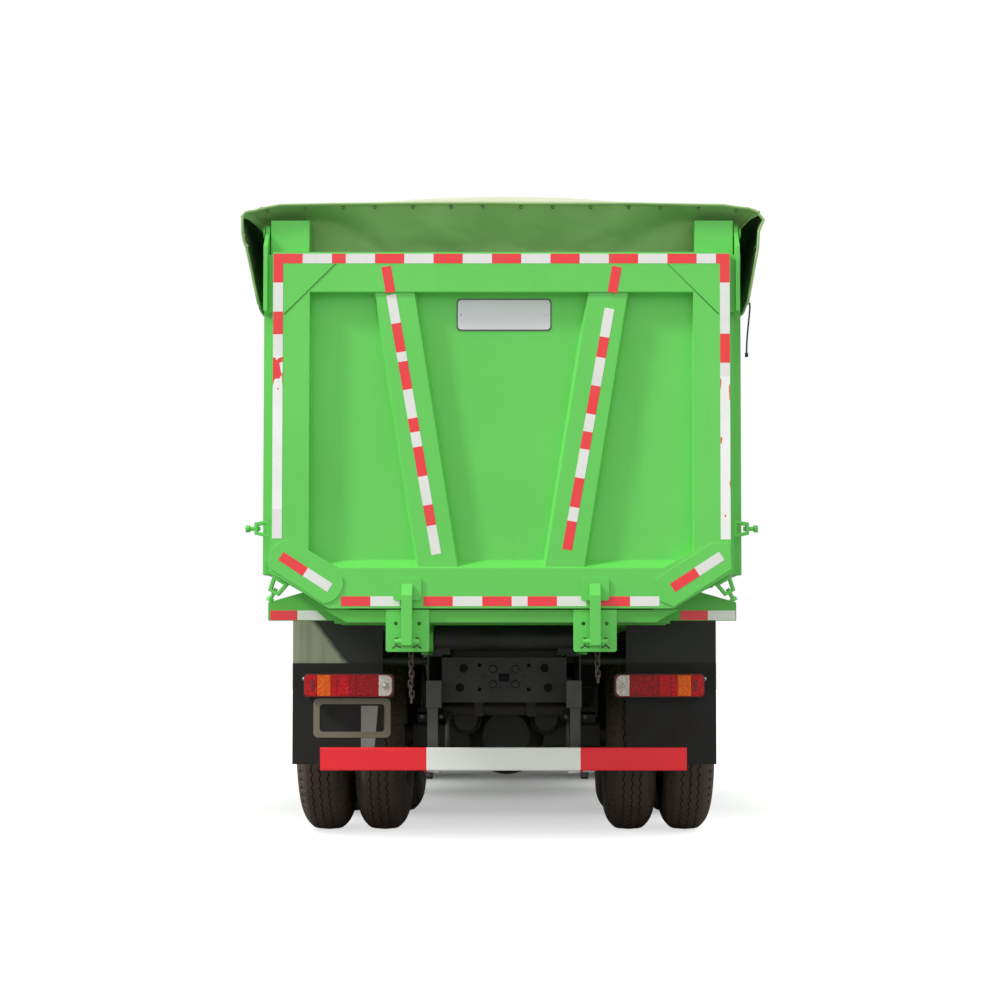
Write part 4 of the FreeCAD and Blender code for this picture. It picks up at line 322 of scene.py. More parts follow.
def clear_glass(name, tint):
    """Window glass, a little dusty."""
    finish = Finish(name)
    soil = finish.spread(finish.noise(2.5, 6.0), 0.4, 0.8)
    finish.set(Base_Color=tint, Transmission_Weight=0.92, IOR=1.45)
    finish.set(Roughness=finish.spread(soil, 0.0, 1.0, 0.02, 0.10))
    finish.bump(finish.noise(1.2, 1.0), 0.03, 0.002)
    return finish.material


def guard_moulding(name):
    """Black guard sheet, grey olive over a slanted outer part of the left rear panel: a painted sunlit patch
    whose slanted edge is a painted shadow edge.
    """
    finish = Finish(name)
    cloud = finish.spread(finish.noise(3.2, 6.0), 0.35, 0.75)
    # Painted light and shadow: the lit patch ends along a slanted line, like the wing's shadow across the
    # panel.
    slant = finish.math("ADD", finish.axis("X"), finish.math("MULTIPLY", finish.axis("Z"), 0.786))
    wave = finish.math("MULTIPLY", finish.noise(7.0, 4.0), 0.05)
    painted_sunlit_patch = finish.spread(finish.math("ADD", slant, wave), -0.060, -0.095)
    below = finish.spread(finish.axis("Z"), 1.235, 1.225)
    rear = finish.spread(finish.axis("Y"), guard_panel_y + 0.060, guard_panel_y + 0.040)
    mask = finish.math("MULTIPLY", finish.math("MULTIPLY", painted_sunlit_patch, below), rear)
    tone = finish.mix(finish.math("MULTIPLY", cloud, 0.25), srgb(26, 26, 21), srgb(50, 49, 39))
    streak = finish.spread(finish.noise(2.0, 4.0, (12, 12, 0.6)), 0.30, 0.70, 0.62, 1.0)
    # The grey olive is the painted sunlit colour, streaked a little.
    tone = finish.mix(finish.math("MULTIPLY", mask, streak), tone, srgb(164, 168, 141))
    finish.set(Base_Color=tone, Roughness=finish.spread(cloud, 0.0, 1.0, 0.5, 0.7))
    soft = finish.edges(0.003)[1]
    finish.bump(finish.noise(300.0, 2.0), 0.2, 0.0006, soft)
    return finish.material


def banded_guard():
    """Underrun bar in red, white and red, on grey posts."""
    finish = Finish("guard_bands")
    third = 0.418
    side = finish.math("ABSOLUTE", finish.axis("X"))
    outer = finish.math("GREATER_THAN", side, third)
    soil = finish.spread(finish.noise(2.6, 6.0), 0.40, 0.72)
    white = finish.mix(finish.math("MULTIPLY", soil, 0.25), srgb(252, 252, 248), srgb(222, 220, 212))
    red = finish.mix(finish.math("MULTIPLY", soil, 0.18), srgb(255, 34, 46), srgb(214, 22, 34))
    bands = finish.mix(outer, white, red)
    post = finish.mix(soil, srgb(44, 45, 42), srgb(84, 85, 79))
    behind = finish.math("GREATER_THAN", finish.axis("Y"), guard_face_y + 0.051)
    finish.set(Base_Color=finish.mix(behind, bands, post), Roughness=finish.spread(soil, 0.0, 1.0, 0.3, 0.55))
    soft = finish.edges(0.004)[1]
    finish.bump(finish.noise(240.0, 2.0), 0.12, 0.0008, soft)
    return finish.material


guard_panel_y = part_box("mudguards")[0].y
guard_face_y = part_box("underrun_guard")[0].y

GREEN = srgb(106, 217, 92)
GREEN_SHADE = srgb(90, 199, 78)
PRIMER = srgb(152, 168, 140)

M = {
    "body": paint("body_enamel", GREEN, GREEN_SHADE, PRIMER, 0.40, 0.5, 0.22, 0.004, 0.6),
    # The underframe takes a darker copy of the body green, painted shade for the sill and wings in shadow,
    # with more dust and a weak edge highlight.
    "low_body_shaded": paint("underframe_enamel_shaded", srgb(92, 200, 74), srgb(68, 160, 56), PRIMER,
                      0.45, 0.5, 0.34, 0.004, 0.8, 0.1),
    # The side ribs take a slightly darker copy of the body green, painted shade against the sun on the sides,
    # and a weaker painted edge highlight.
    "ribs": paint("rib_enamel_shaded", srgb(98, 204, 84), srgb(82, 184, 70), PRIMER,
                  0.42, 0.4, 0.26, 0.004, 0.6, 0.08),
    "cab": paint("cab_enamel", GREEN, GREEN_SHADE, PRIMER, 0.26, 0.15, 0.12, 0.012, 0.6),
    "chassis": paint("chassis_enamel", srgb(19, 20, 17), srgb(13, 14, 12), srgb(78, 66, 54),
                     0.58, 0.4, 0.14, 0.004),
    "grey_steel": paint("grey_enamel", srgb(74, 75, 70), srgb(58, 59, 55), srgb(110, 98, 84),
                        0.5, 0.5, 0.3, 0.004),
    "wheel": paint("wheel_enamel", srgb(150, 152, 152), srgb(120, 122, 122), srgb(104, 84, 66),
                   0.4, 0.6, 0.5, 0.005),
    "driveline": paint("casting_enamel", srgb(60, 62, 60), srgb(44, 46, 44), srgb(120, 112, 100),
                       0.55, 0.4, 0.5),
    "interior": plastic("interior_moulding", srgb(78, 78, 80), 0.6, 380.0, 0.08),
    "black": plastic("black_moulding", srgb(34, 34, 35), 0.5, 420.0, 0.10),
    "guard_sheet": guard_moulding("guard_moulding"),
    "tyre": rubber("tyre_rubber", srgb(68, 59, 52), 0.42),
    "flap": rubber("flap_rubber", srgb(27, 27, 27), 0.10),
    "cloth": canvas("cover_cloth", srgb(98, 146, 76), srgb(82, 128, 62), srgb(126, 160, 100)),
    # Its last colour is the pale of the painted sunlight on the roof's top.
    "roof_cloth": canvas("cover_cloth_roof", srgb(98, 146, 76), srgb(82, 128, 62), srgb(126, 160, 100),
                         srgb(214, 218, 184)),
    # The curtain is the cover cloth made lighter: painted light on a cloth that hangs in the roof's shade.
    "curtain": canvas("cover_cloth_curtain_painted_light", srgb(152, 202, 118), srgb(134, 184, 100), srgb(170, 208, 138)),
    "hem": canvas("cover_hem", srgb(158, 198, 122), srgb(134, 176, 100), srgb(172, 204, 142)),
    "seat": canvas("seat_weave", srgb(54, 56, 60), srgb(42, 44, 48), srgb(72, 74, 78)),
    "red_tape": tape("tape_red", srgb(250, 40, 52)),
    "white_tape": tape("tape_white", srgb(240, 240, 236)),
    "peeled_tape": tape("tape_peeled", srgb(255, 255, 253)),
    "bare_plate": plastic("bare_plate", srgb(224, 226, 228), 0.3, 500.0, 0.10),
    "plate_edge": plastic("bare_plate_edge", srgb(88, 90, 92), 0.35, 500.0, 0.05),
    "lamp_red": lens("lens_red", srgb(246, 16, 28), srgb(186, 4, 12)),
    "lamp_dark": lens("lens_dark_red", srgb(206, 8, 22), srgb(148, 4, 12)),
    "lamp_rim": plastic("lens_rim", srgb(120, 8, 16), 0.25, 300.0, 0.05),
    "lamp_amber": lens("lens_amber", srgb(255, 134, 8), srgb(238, 90, 2)),
    "lamp_clear": lens("lens_clear", srgb(252, 240, 234), srgb(206, 192, 186)),
    "headlamp": lens("lens_headlamp", srgb(226, 229, 232), srgb(182, 186, 190)),
    # Dark green of the painted shadow lines at the tailgate's corner seams.
    "seam": plastic("seam_shade", srgb(52, 140, 48), 0.6, 300.0, 0.2),
    "holder": plastic("holder_plastic", srgb(126, 119, 101), 0.5, 300.0, 0.3),
    "hook": metal("dark_hook", (0.10, 0.09, 0.07, 1.0), 0.5, 0.7),
    "strip": metal("brushed_strip", (0.30, 0.29, 0.27, 1.0), 0.45, 0.4, (1, 1, 14)),
    "glass": clear_glass("window_glass", (0.62, 0.72, 0.70, 1.0)),
    "mirror": metal("mirror_silver", (0.82, 0.84, 0.86, 1.0), 0.10),
    "steel": metal("zinc_steel", (0.52, 0.50, 0.46, 1.0), 0.42),
    "plated": metal("plated_rod", (0.74, 0.75, 0.77, 1.0), 0.20, 1.0, (40, 40, 1)),
    "aluminium": metal("brushed_tank", (0.72, 0.73, 0.74, 1.0), 0.34, 1.0, (1, 0.05, 18)),
    "rust": paint("rusty_chain", srgb(70, 56, 47), srgb(48, 40, 35), srgb(104, 80, 64),
                  0.7, 0.4, 0.2, 0.002, 0.9, 0.1),
    "guard": banded_guard(),
}

CAD_FINISH = {
    "low_body_shaded": ("underframe",),
    "ribs": ("side_ribs",),
    "body": ("tub", "rear_frame", "lock_plates", "gate_frame", "gate_arms",
             "cover_bows"),
    "cab": ("cab_shell", "door_left", "door_right"),
    "chassis": ("frame_rails", "rear_crossmember", "axles", "leaf_springs", "side_equipment", "exhaust",
                "entry_steps", "tipping_pivot", "cab_supports", "knuckle_left", "knuckle_right", "tie_rod",
                "hoist_tube"),
    "grey_steel": ("front_bumper",),
    "driveline": ("driveline",),
    "aluminium": ("fuel_tank",),
    "headlamp": ("headlamps",),
    "black": ("mirrors", "sun_visor", "steering_wheel", "front_panel", "tail_lamps"),
    "guard_sheet": ("mudguards",),
    "flap": ("mudflaps",),
    "guard": ("underrun_guard",),
    "cloth": ("cover_sheet",),
    "glass": ("cab_glass", "door_glass_left", "door_glass_right"),
    "interior": ("cab_interior",),
    "seat": ("seats",),
    "plated": ("hoist_stage_1", "hoist_stage_2", "hoist_stage_3", "hoist_stage_4"),
    "tyre": ("tyre_front_left", "tyre_front_right", "tyres_mid_left", "tyres_mid_right", "tyres_rear_left",
             "tyres_rear_right"),
    "wheel": ("rim_front_left", "rim_front_right", "rims_mid_left", "rims_mid_right", "rims_rear_left",
              "rims_rear_right"),
}


def dress_nodes():
    """Give every CAD node its finish."""
    for key, names in CAD_FINISH.items():
        for name in names:
            mesh = nodes[name].data
            mesh.materials.clear()
            mesh.materials.append(M[key])


# Mesh building

class Build:
    """Gathers simple forms into one mesh. The finish number picks the material of what comes next."""

    def __init__(self):
        self.bm = bmesh.new()
        self.finish = 0

    def keep(self, made, smooth=False):
        for face in made:
            face.material_index = self.finish
            face.smooth = smooth
        return made

    def faces_of(self, verts):
        return list({face for vert in verts for face in vert.link_faces})

    def box(self, low, high, bevel=0.0):
        """Box between two corners, with rounded edges."""
        low, high = Vector(low), Vector(high)
        size = [max(abs(high[i] - low[i]), 1e-5) for i in range(3)]
        matrix = Matrix.Translation((low + high) / 2) @ Matrix.Diagonal((*size, 1))
        verts = bmesh.ops.create_cube(self.bm, size=1.0, matrix=matrix)["verts"]
        if bevel:
            edges = list({edge for vert in verts for edge in vert.link_edges})
            made = bmesh.ops.bevel(self.bm, geom=edges, offset=bevel, segments=2, profile=0.5,
                                   affect="EDGES", clamp_overlap=True)
            verts = list({vert for face in made["faces"] for vert in face.verts}
                         | {vert for vert in verts if vert.is_valid})
        return self.keep(self.faces_of(verts))

    def rod(self, start, end, radius, sides=16, end_radius=None, caps=True):
        """Round or many-sided bar between two points."""
        start, end = Vector(start), Vector(end)
        line = end - start
        turn = line.to_track_quat("Z", "Y").to_matrix().to_4x4()
        matrix = Matrix.Translation((start + end) / 2) @ turn
        tip = radius if end_radius is None else end_radius
        verts = bmesh.ops.create_cone(self.bm, cap_ends=caps, segments=sides, radius1=radius, radius2=tip,
                                      depth=line.length, matrix=matrix)["verts"]
        made = self.keep(self.faces_of(verts), sides > 8)
        for face in made:
            if len(face.verts) > 4:
                face.smooth = False
        return made

    def ring(self, centre, axis, radius, thickness, steps=24, sides=8):
        """Torus about an axis."""
        axis = Vector(axis).normalized()
        side = axis.orthogonal().normalized()
        path = []
        for step in range(steps):
            turn = Matrix.Rotation(2 * math.pi * step / steps, 3, axis)
            path.append(Vector(centre) + turn @ side * radius)
        return self.tube(path, thickness, sides, closed=True)

    def tube(self, path, radius, sides=8, closed=False):
        """Tube along a line of points."""
        path = [Vector(p) for p in path]
        count = len(path)
        rings = []
        normal = None
        for index, here in enumerate(path):
            before = path[index - 1] if closed or index > 0 else here
            after = path[(index + 1) % count] if closed or index < count - 1 else here
            tangent = (after - before).normalized()
            if normal is None:
                normal = tangent.orthogonal().normalized()
            normal = (normal - tangent * normal.dot(tangent)).normalized()
            side = tangent.cross(normal)
            ring = []
            for step in range(sides):
                angle = 2 * math.pi * step / sides
                spoke = normal * math.cos(angle) + side * math.sin(angle)
                ring.append(self.bm.verts.new(here + spoke * radius))
            rings.append(ring)
        made = []
        for index in range(count if closed else count - 1):
            first, second = rings[index], rings[(index + 1) % count]
            for step in range(sides):
                following = (step + 1) % sides
                corners = (first[step], first[following], second[following], second[step])
                made.append(self.bm.faces.new(corners))
        if not closed:
            made.append(self.bm.faces.new(rings[0][::-1]))
            made.append(self.bm.faces.new(rings[-1]))
        return self.keep(made, True)

    def grid(self, rows, smooth=True, wrap=False):
        """Surface through rows of points."""
        made_rows = [[self.bm.verts.new(p) for p in row] for row in rows]
        made = []
        pairs = list(zip(made_rows, made_rows[1:]))
        if wrap:
            pairs.append((made_rows[-1], made_rows[0]))
        for first, second in pairs:
            for step in range(len(first) - 1):
                made.append(self.bm.faces.new((first[step], first[step + 1], second[step + 1], second[step])))
        return self.keep(made, smooth)

    def slab(self, outline, depth, bevel=0.0):
        """Flat outline of points made solid along depth, with its front edge rounded."""
        face = self.bm.faces.new([self.bm.verts.new(p) for p in outline])
        made = bmesh.ops.extrude_face_region(self.bm, geom=[face])
        verts = [item for item in made["geom"] if isinstance(item, bmesh.types.BMVert)]
        bmesh.ops.translate(self.bm, verts=verts, vec=Vector(depth))
        whole = self.keep(self.faces_of(list(face.verts) + verts))
        bmesh.ops.recalc_face_normals(self.bm, faces=whole)
        if bevel:
            top = next(item for item in made["geom"] if isinstance(item, bmesh.types.BMFace))
            bevelled = bmesh.ops.bevel(self.bm, geom=list(top.edges), offset=bevel, segments=2, profile=0.5,
                                       affect="EDGES", clamp_overlap=True)
            whole = list(set(f for f in whole if f.is_valid) | set(bevelled["faces"]))
        return self.keep(whole)

    def bolt(self, base, axis, size=0.012, washer=True):
        """Hexagon head on its washer, with the end of its thread."""
        base, axis = Vector(base), Vector(axis).normalized()
        start = base - axis * size * 0.05
        if washer:
            self.rod(start, base + axis * size * 0.16, size * 1.15, 14)
        self.rod(start, base + axis * size * 0.75, size * 0.88, 6)
        self.rod(start, base + axis * size * 1.0, size * 0.45, 10)

    def done(self, name, finishes, body, replaces=()):
        """Make the object, with its finishes, on the body that carries it."""
        mesh = bpy.data.meshes.new(name)
        self.bm.to_mesh(mesh)
        self.bm.free()
        for finish in finishes:
            mesh.materials.append(M[finish])
        piece = bpy.data.objects.new(name, mesh)
        bpy.context.scene.collection.objects.link(piece)
        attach(piece, body)
        if replaces:
            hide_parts(*replaces)
        return piece


# Tailgate: reflective tape, blank plate, painted shadow lines at the corner seams

tape_width = 0.050
block = 0.150
tape_thick = 0.0012
RED, WHITE, PEELED = 0, 1, 2
rib_inset = 0.010


def tape_run(build, start, direction, up, out, blocks):
    """Tape blocks one after another along a line; each is (length, colour)."""
    start, direction = Vector(start), Vector(direction).normalized()
    up, out = Vector(up).normalized(), Vector(out).normalized()
    reach = 0.0
    for size, colour in blocks:
        build.finish = colour
        a = start + direction * reach - up * tape_width / 2
        b = start + direction * (reach + size) - up * tape_width / 2
        outline = [a, b, b + up * tape_width, a + up * tape_width]
        build.slab([p - out * 0.0006 for p in outline], out * (tape_thick + 0.0006), 0.0004)
        reach += size
    build.finish = 0


def torn_scraps(build, start, scraps):
    """Red scraps left on a peeled column, each an outline of (x, z) about the start."""
    build.finish = RED
    for scrap in scraps:
        outline = [start + RIGHT * x + UP * z - AHEAD * tape_thick * 0.9 for x, z in scrap]
        build.slab(outline, -AHEAD * 0.0006)
    build.finish = 0


def alternate(count, first=RED, size=block):
    return [(size, first if index % 2 == 0 else 1 - first) for index in range(count)]


tape_top_z = gate_top - 0.034
tape_side_x = gate_half - 0.030
tape_foot_z = gate_foot + 0.0365
rib_slope = 0.176
TORN = None


def gate_tapes():
    """Tape along the tailgate's frame; its side columns start below the top row."""
    build = Build()
    low = tape_top_z - tape_width / 2
    start = -tape_side_x - tape_width / 2
    row = [(block, RED), (block, WHITE), (0.071, RED)] + alternate(12, WHITE) + [(0.099, WHITE)]
    row.append((2 * tape_side_x + 0.050 - sum(size for size, colour in row), RED))
    tape_run(build, (start, gate_y, tape_top_z), RIGHT, UP, -AHEAD, row)
    column = [(0.099, RED), (block, WHITE), (0.117, RED), (0.110, WHITE), (0.938 - block, PEELED),
              (block, WHITE)]
    tape_run(build, (-tape_side_x, gate_y, low), -UP, RIGHT, -AHEAD, column)
    torn_scraps(build, Vector((-tape_side_x, gate_y, low - 0.483)), (
        ((-0.025, 0.000), (-0.012, -0.004), (-0.006, -0.018), (0.004, -0.006), (0.025, 0.002),
         (0.025, -0.024), (0.008, -0.030), (0.014, -0.066), (0.020, -0.090), (0.008, -0.112),
         (-0.010, -0.110), (-0.018, -0.118), (-0.025, -0.148)),
        ((0.021, -0.085), (0.025, -0.080), (0.025, -0.150), (0.022, -0.120)),
        ((-0.002, -0.158), (0.005, -0.160), (0.004, -0.170), (-0.001, -0.168))))
    column = [(0.099, RED), (0.264, WHITE), (block, RED), (0.070, WHITE), (0.836, PEELED)]
    tape_run(build, (tape_side_x, gate_y, low), -UP, RIGHT, -AHEAD, column)
    torn_scraps(build, Vector((tape_side_x, gate_y, low - 0.590)), (
        ((-0.025, 0.000), (-0.019, -0.012), (-0.022, -0.050), (-0.025, -0.060)),
        ((0.025, -0.030), (0.019, -0.045), (0.021, -0.110), (0.025, -0.120)),
        ((-0.025, -0.300), (-0.016, -0.312), (-0.020, -0.336), (-0.025, -0.340)),
        ((0.025, -0.520), (0.020, -0.540), (0.025, -0.575)),
        ((-0.004, -0.700), (0.003, -0.704), (0.001, -0.716), (-0.005, -0.712))))
    foot = Vector((-0.817, gate_y, tape_foot_z))
    tape_run(build, foot, RIGHT, UP, -AHEAD, alternate(2))
    row = [(block, RED), (block, WHITE), (block, RED), (0.081, WHITE), (block, RED), (block, WHITE)]
    tape_run(build, foot + RIGHT * 0.420, RIGHT, UP, -AHEAD, row)
    tape_run(build, foot + RIGHT * 1.323, RIGHT, UP, -AHEAD, alternate(2))
    build.done("gate_tape", ["red_tape", "white_tape", "peeled_tape"], "tailgate")


def rib_tapes():
    """Tape down the two slanted ribs, starting on the top rail."""
    build = Build()
    plans = {
        -1: [(block, WHITE), (block, RED), (0.050, WHITE), (0.146, RED), (block, WHITE), (0.072, RED),
             (0.078, WHITE), (0.153, RED), (block, WHITE), (0.106, RED), (block, WHITE)],
        1: [(0.072, TORN), (block, WHITE), (0.107, RED), (0.148, WHITE), (0.148, RED), (0.092, WHITE),
            (0.091, RED), (block, WHITE), (0.153, RED), (0.072, WHITE), (0.148, RED)],
    }
    for side in (-1, 1):
        down = Vector((-side * rib_slope, 0, -1)).normalized()
        across = Vector((1, 0, -side * rib_slope)).normalized()
        start = Vector((side * 0.592, gate_y, gate_top - 0.075))
        tape_run(build, start, down, across, -AHEAD, [(0.136, RED)])
        here = start + down * 0.146
        here.y = gate_y + rib_inset
        for size, colour in plans[side]:
            if colour is not TORN:
                tape_run(build, here, down, across, -AHEAD, [(size, colour)])
            here = here + down * size
    build.done("rib_tape", ["red_tape", "white_tape"], "tailgate")


floor_z = tub_low.z


def wing_tapes():
    """Short tapes under the wings, the left one ending in a slant, and dark lines at the frame's corner seams
    that stand in for the shade of the plates' edges.
    """
    build = Build()
    tape_z = floor_z - 0.028
    y = gate_y + 0.250
    tape_run(build, (-1.214, y, tape_z), RIGHT, UP, -AHEAD, [(0.142, RED), (0.100, WHITE)])
    tape_run(build, (0.932, y, tape_z), RIGHT, UP, -AHEAD, [(0.144, RED), (0.144, WHITE)])
    build.finish = WHITE
    low, high, tip = tape_z - tape_width / 2, tape_z + tape_width / 2, -0.972
    build.slab([Vector((tip, y, low)), Vector((tip + 0.052, y, low)), Vector((tip, y, high))],
               -AHEAD * tape_thick)
    build.done("wing_tape", ["red_tape", "white_tape"], "dump_body")
    build = Build()
    # Painted shadow: thin dark green tubes along the corner seams, where the plates' edges throw shade.
    for side in (-1, 1):
        ends = (Vector((side * 0.851, gate_y, 3.040)), Vector((side * 1.114, gate_y, 2.779)))
        build.tube(ends, 0.0028, 6)
    build.done("gate_seam_shadows", ["seam"], "tailgate")


corner_centre_x = 0.998
corner_centre_z = 1.456
corner_angle = math.radians(33)


def corner_tapes():
    """One red and one white block on each lower corner plate."""
    build = Build()
    for side in (-1, 1):
        centre = Vector((side * corner_centre_x, plate_y, corner_centre_z))
        along = Vector((side * math.cos(corner_angle), 0, math.sin(corner_angle)))
        order = [(block, WHITE), (block, RED)] if side < 0 else [(block, RED), (block, WHITE)]
        across = AHEAD.cross(along)
        tape_run(build, centre - along * block, along, across, -AHEAD, order)
    build.done("corner_tape", ["red_tape", "white_tape"], "tailgate")


def rounded_outline(centre, half_w, half_h, radius, y, steps=5):
    """Upright rectangle with round corners, as points."""
    points = []
    for cx, cz, base in ((1, 1, 0), (-1, 1, 90), (-1, -1, 180), (1, -1, 270)):
        for step in range(steps + 1):
            angle = math.radians(base + 90 * step / steps)
            points.append(Vector((centre[0] + cx * (half_w - radius) + radius * math.cos(angle), y,
                                  centre[1] + cz * (half_h - radius) + radius * math.sin(angle))))
    return points


def blank_plate():
    """Bare plate between the ribs, on the tailgate's skin."""
    build = Build()
    skin = gate_y + 0.070
    centre = (0.012, 2.789)
    build.finish = 1
    build.slab(rounded_outline(centre, 0.2455, 0.084, 0.022, skin), -AHEAD * 0.003, 0.001)
    build.finish = 0
    build.slab(rounded_outline(centre, 0.2385, 0.077, 0.018, skin - 0.003), -AHEAD * 0.0012, 0.0005)
    build.finish = 0
    for side in (-1, 1):
        build.rod((centre[0] + side * 0.222, skin - 0.004, centre[1]),
                  (centre[0] + side * 0.222, skin - 0.0065, centre[1]), 0.005, 12, 0.003)
    build.done("blank_plate", ["bare_plate", "plate_edge"], "tailgate")


# Tyres with their tread

groove_places = (-0.047, 0.0, 0.047)
groove_half = 0.0042
groove_depth = 0.014
zigzag = 0.0065
pitches = 58
notch_depth = 0.009
notch_inner = 0.096
notch_outer = 0.120
TYRE_PROFILE = (
    (0.000, 0.000), (0.040, 0.002), (0.078, 0.009), (0.090, 0.017), (0.100, 0.027), (0.111, 0.039),
    (0.120, 0.051), (0.128, 0.065), (0.135, 0.081), (0.141, 0.098), (0.145, 0.120), (0.146, 0.150),
    (0.1445, 0.180), (0.140, 0.208), (0.131, 0.236), (0.120, 0.258), (0.110, 0.274), (0.104, 0.286),
)


def crown_drop(x):
    """How far the tyre's outside lies below its crown, at x from the middle."""
    x = abs(x)
    for (x0, drop0), (x1, drop1) in zip(TYRE_PROFILE, TYRE_PROFILE[1:]):
        if x <= x1:
            return drop0 + (drop1 - drop0) * (x - x0) / (x1 - x0)
    return TYRE_PROFILE[-1][1]


def half_columns(notch):
    """One half of the section from the outer groove's edge to the rim, as (x, radius)."""
    cut = notch_depth if notch else 0.0
    columns = [(0.078, tyre_radius - crown_drop(0.078))]
    columns.append((notch_inner - 0.002, tyre_radius - crown_drop(notch_inner - 0.002)))
    for x in (notch_inner, 0.104, 0.112, notch_outer - 0.0015):
        columns.append((x, tyre_radius - crown_drop(x) - cut))
    columns.append((notch_outer, tyre_radius - crown_drop(notch_outer)))
    for x, drop in TYRE_PROFILE[7:]:
        radius = tyre_radius - drop
        ridge = 0.0016 if drop in (0.120, 0.208, 0.258) else 0.0
        columns.append((min(x + ridge, tyre_width / 2), radius))
    return columns


def tyre_rows(build, centre_x, axle_y):
    """Surface of the tyre: zigzag grooves round the tread and small notches in its shoulders."""
    phases = ((0.0, False), (0.30, False), (0.36, True), (0.5, True), (0.64, True), (0.70, False))
    rows = []
    for pitch in range(pitches):
        for share, notch in phases:
            angle = 2 * math.pi * (pitch + share) / pitches
            shift = zigzag * (1 - 4 * abs(share - 0.5))
            half = half_columns(notch)
            columns = [(-x, radius) for x, radius in reversed(half)]
            for place in groove_places:
                crown = tyre_radius - crown_drop(place)
                columns.append((place - groove_half + shift, crown))
                columns.append((place - groove_half * 0.5 + shift, crown - groove_depth))
                columns.append((place + groove_half * 0.5 + shift, crown - groove_depth))
                columns.append((place + groove_half + shift, crown))
            columns += half
            ahead, up = math.cos(angle), math.sin(angle)
            rows.append([Vector((centre_x + x, axle_y + radius * ahead, axle_z + radius * up))
                         for x, radius in columns])
    build.grid(rows, smooth=False, wrap=True)


def tyres():
    """Every tyre, on the wheel that carries it."""
    for side, word in SIDES:
        for axle, node, body in (("front", "tyre_front_", "wheel_front_"),
                                 ("mid", "tyres_mid_", "wheels_mid_"),
                                 ("rear", "tyres_rear_", "wheels_rear_")):
            low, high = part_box(node + word)
            axle_y = (low.y + high.y) / 2
            build = Build()
            centres = [(low.x + high.x) / 2]
            if axle != "front":
                centres = [low.x + tyre_width / 2, high.x - tyre_width / 2]
            for centre_x in centres:
                tyre_rows(build, centre_x, axle_y)
            for face in build.bm.faces:
                centre = face.calc_center_median()
                face.smooth = math.hypot(centre.y - axle_y, centre.z - axle_z) < tyre_radius - 0.056
            build.done("tread_" + axle + "_" + word, ["tyre"], body + word, (node + word,))


# Cover

def ripple(x, y, z, scale):
    return noise.fractal(Vector((x, y, z)) * scale, 0.9, 2.1, 4)


def cover_section(camber, corner_z):
    """Points (x, z, share) from the left hem over the roof to the right hem; share falls from 1 at
    the hem to 0 at the corner and stays 0 on the roof."""
    half = []
    steps = 40
    reach = corner_x - corner_round
    for step in range(steps + 1):
        x = reach * step / steps
        half.append((x, corner_z + camber * (1 - (x / corner_x) ** 2), 0.0))
    lean = math.atan2(corner_x - skirt_x, corner_z - skirt_z)
    edge_z = half[-1][1]
    for step in range(1, 6):
        angle = (math.pi / 2 + lean) * step / 6
        half.append((reach + corner_round * math.sin(angle),
                     edge_z - corner_round * (1 - math.cos(angle)), 0.0))
    top_x, top_z = half[-1][0], half[-1][1]
    drops = 16
    for step in range(1, drops + 1):
        share = step / drops
        half.append((top_x + (skirt_x - top_x) * share, top_z + (skirt_z - top_z) * share, share))
    return [(-x, z, share) for x, z, share in reversed(half[1:])] + half


def bow_gap(y):
    """0 at a bow, 1 halfway between two bows."""
    low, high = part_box("cover_bows")
    pitch = (high.y - low.y - 0.040) / (bow_count - 1)
    place = (y - low.y - 0.020) / pitch
    if place < 0:
        return 0.0
    return (1 - math.cos(2 * math.pi * (place % 1))) / 2


def cover_row(y):
    """One row of the cloth, with its sag between the bows, folds and crumpled rear corners."""
    lead = min(1.0, (y - cover_rear_y) / (first_bow_y - cover_rear_y))
    camber = hem_camber + (full_camber - hem_camber) * math.sin(lead * math.pi / 2) ** 1.3
    gap = bow_gap(y)
    row = []
    for x, z, share in cover_section(camber, cover_corner_z):
        side = -1 if x < 0 else 1
        if abs(x) < corner_x - 0.1 and share == 0:
            flat = 1 - (abs(x) / corner_x) ** 4
            z -= sag * gap * flat + 0.005 * abs(ripple(x * 0.6, y * 1.4, 0.3, 1.6)) * flat
        fold = math.sin(y * 9.3 + side) * 0.5 + math.sin(y * 23.0 + 2.1 * side) * 0.25
        fold += ripple(0.2, y, z * 0.4, 3.0)
        x += side * share * (0.011 * fold - 0.004)
        if share > 0.9:
            z += 0.010 * (1 + math.sin(y * 2 * math.pi / 0.62)) / 2
        crumple = max(0.0, 1 - (y - cover_rear_y) / 0.16) * max(0.0, 1 - abs(abs(x) - corner_x) / 0.20)
        if z > cover_corner_z - 0.20 and crumple > 0:
            x -= side * 0.040 * crumple * abs(ripple(y * 2, z * 2, side, 7.0))
            z -= crumple * (0.022 + 0.050 * abs(ripple(side, y * 2, z * 3 + x * 3, 6.0)))
        row.append(Vector((x, y, z)))
    return row


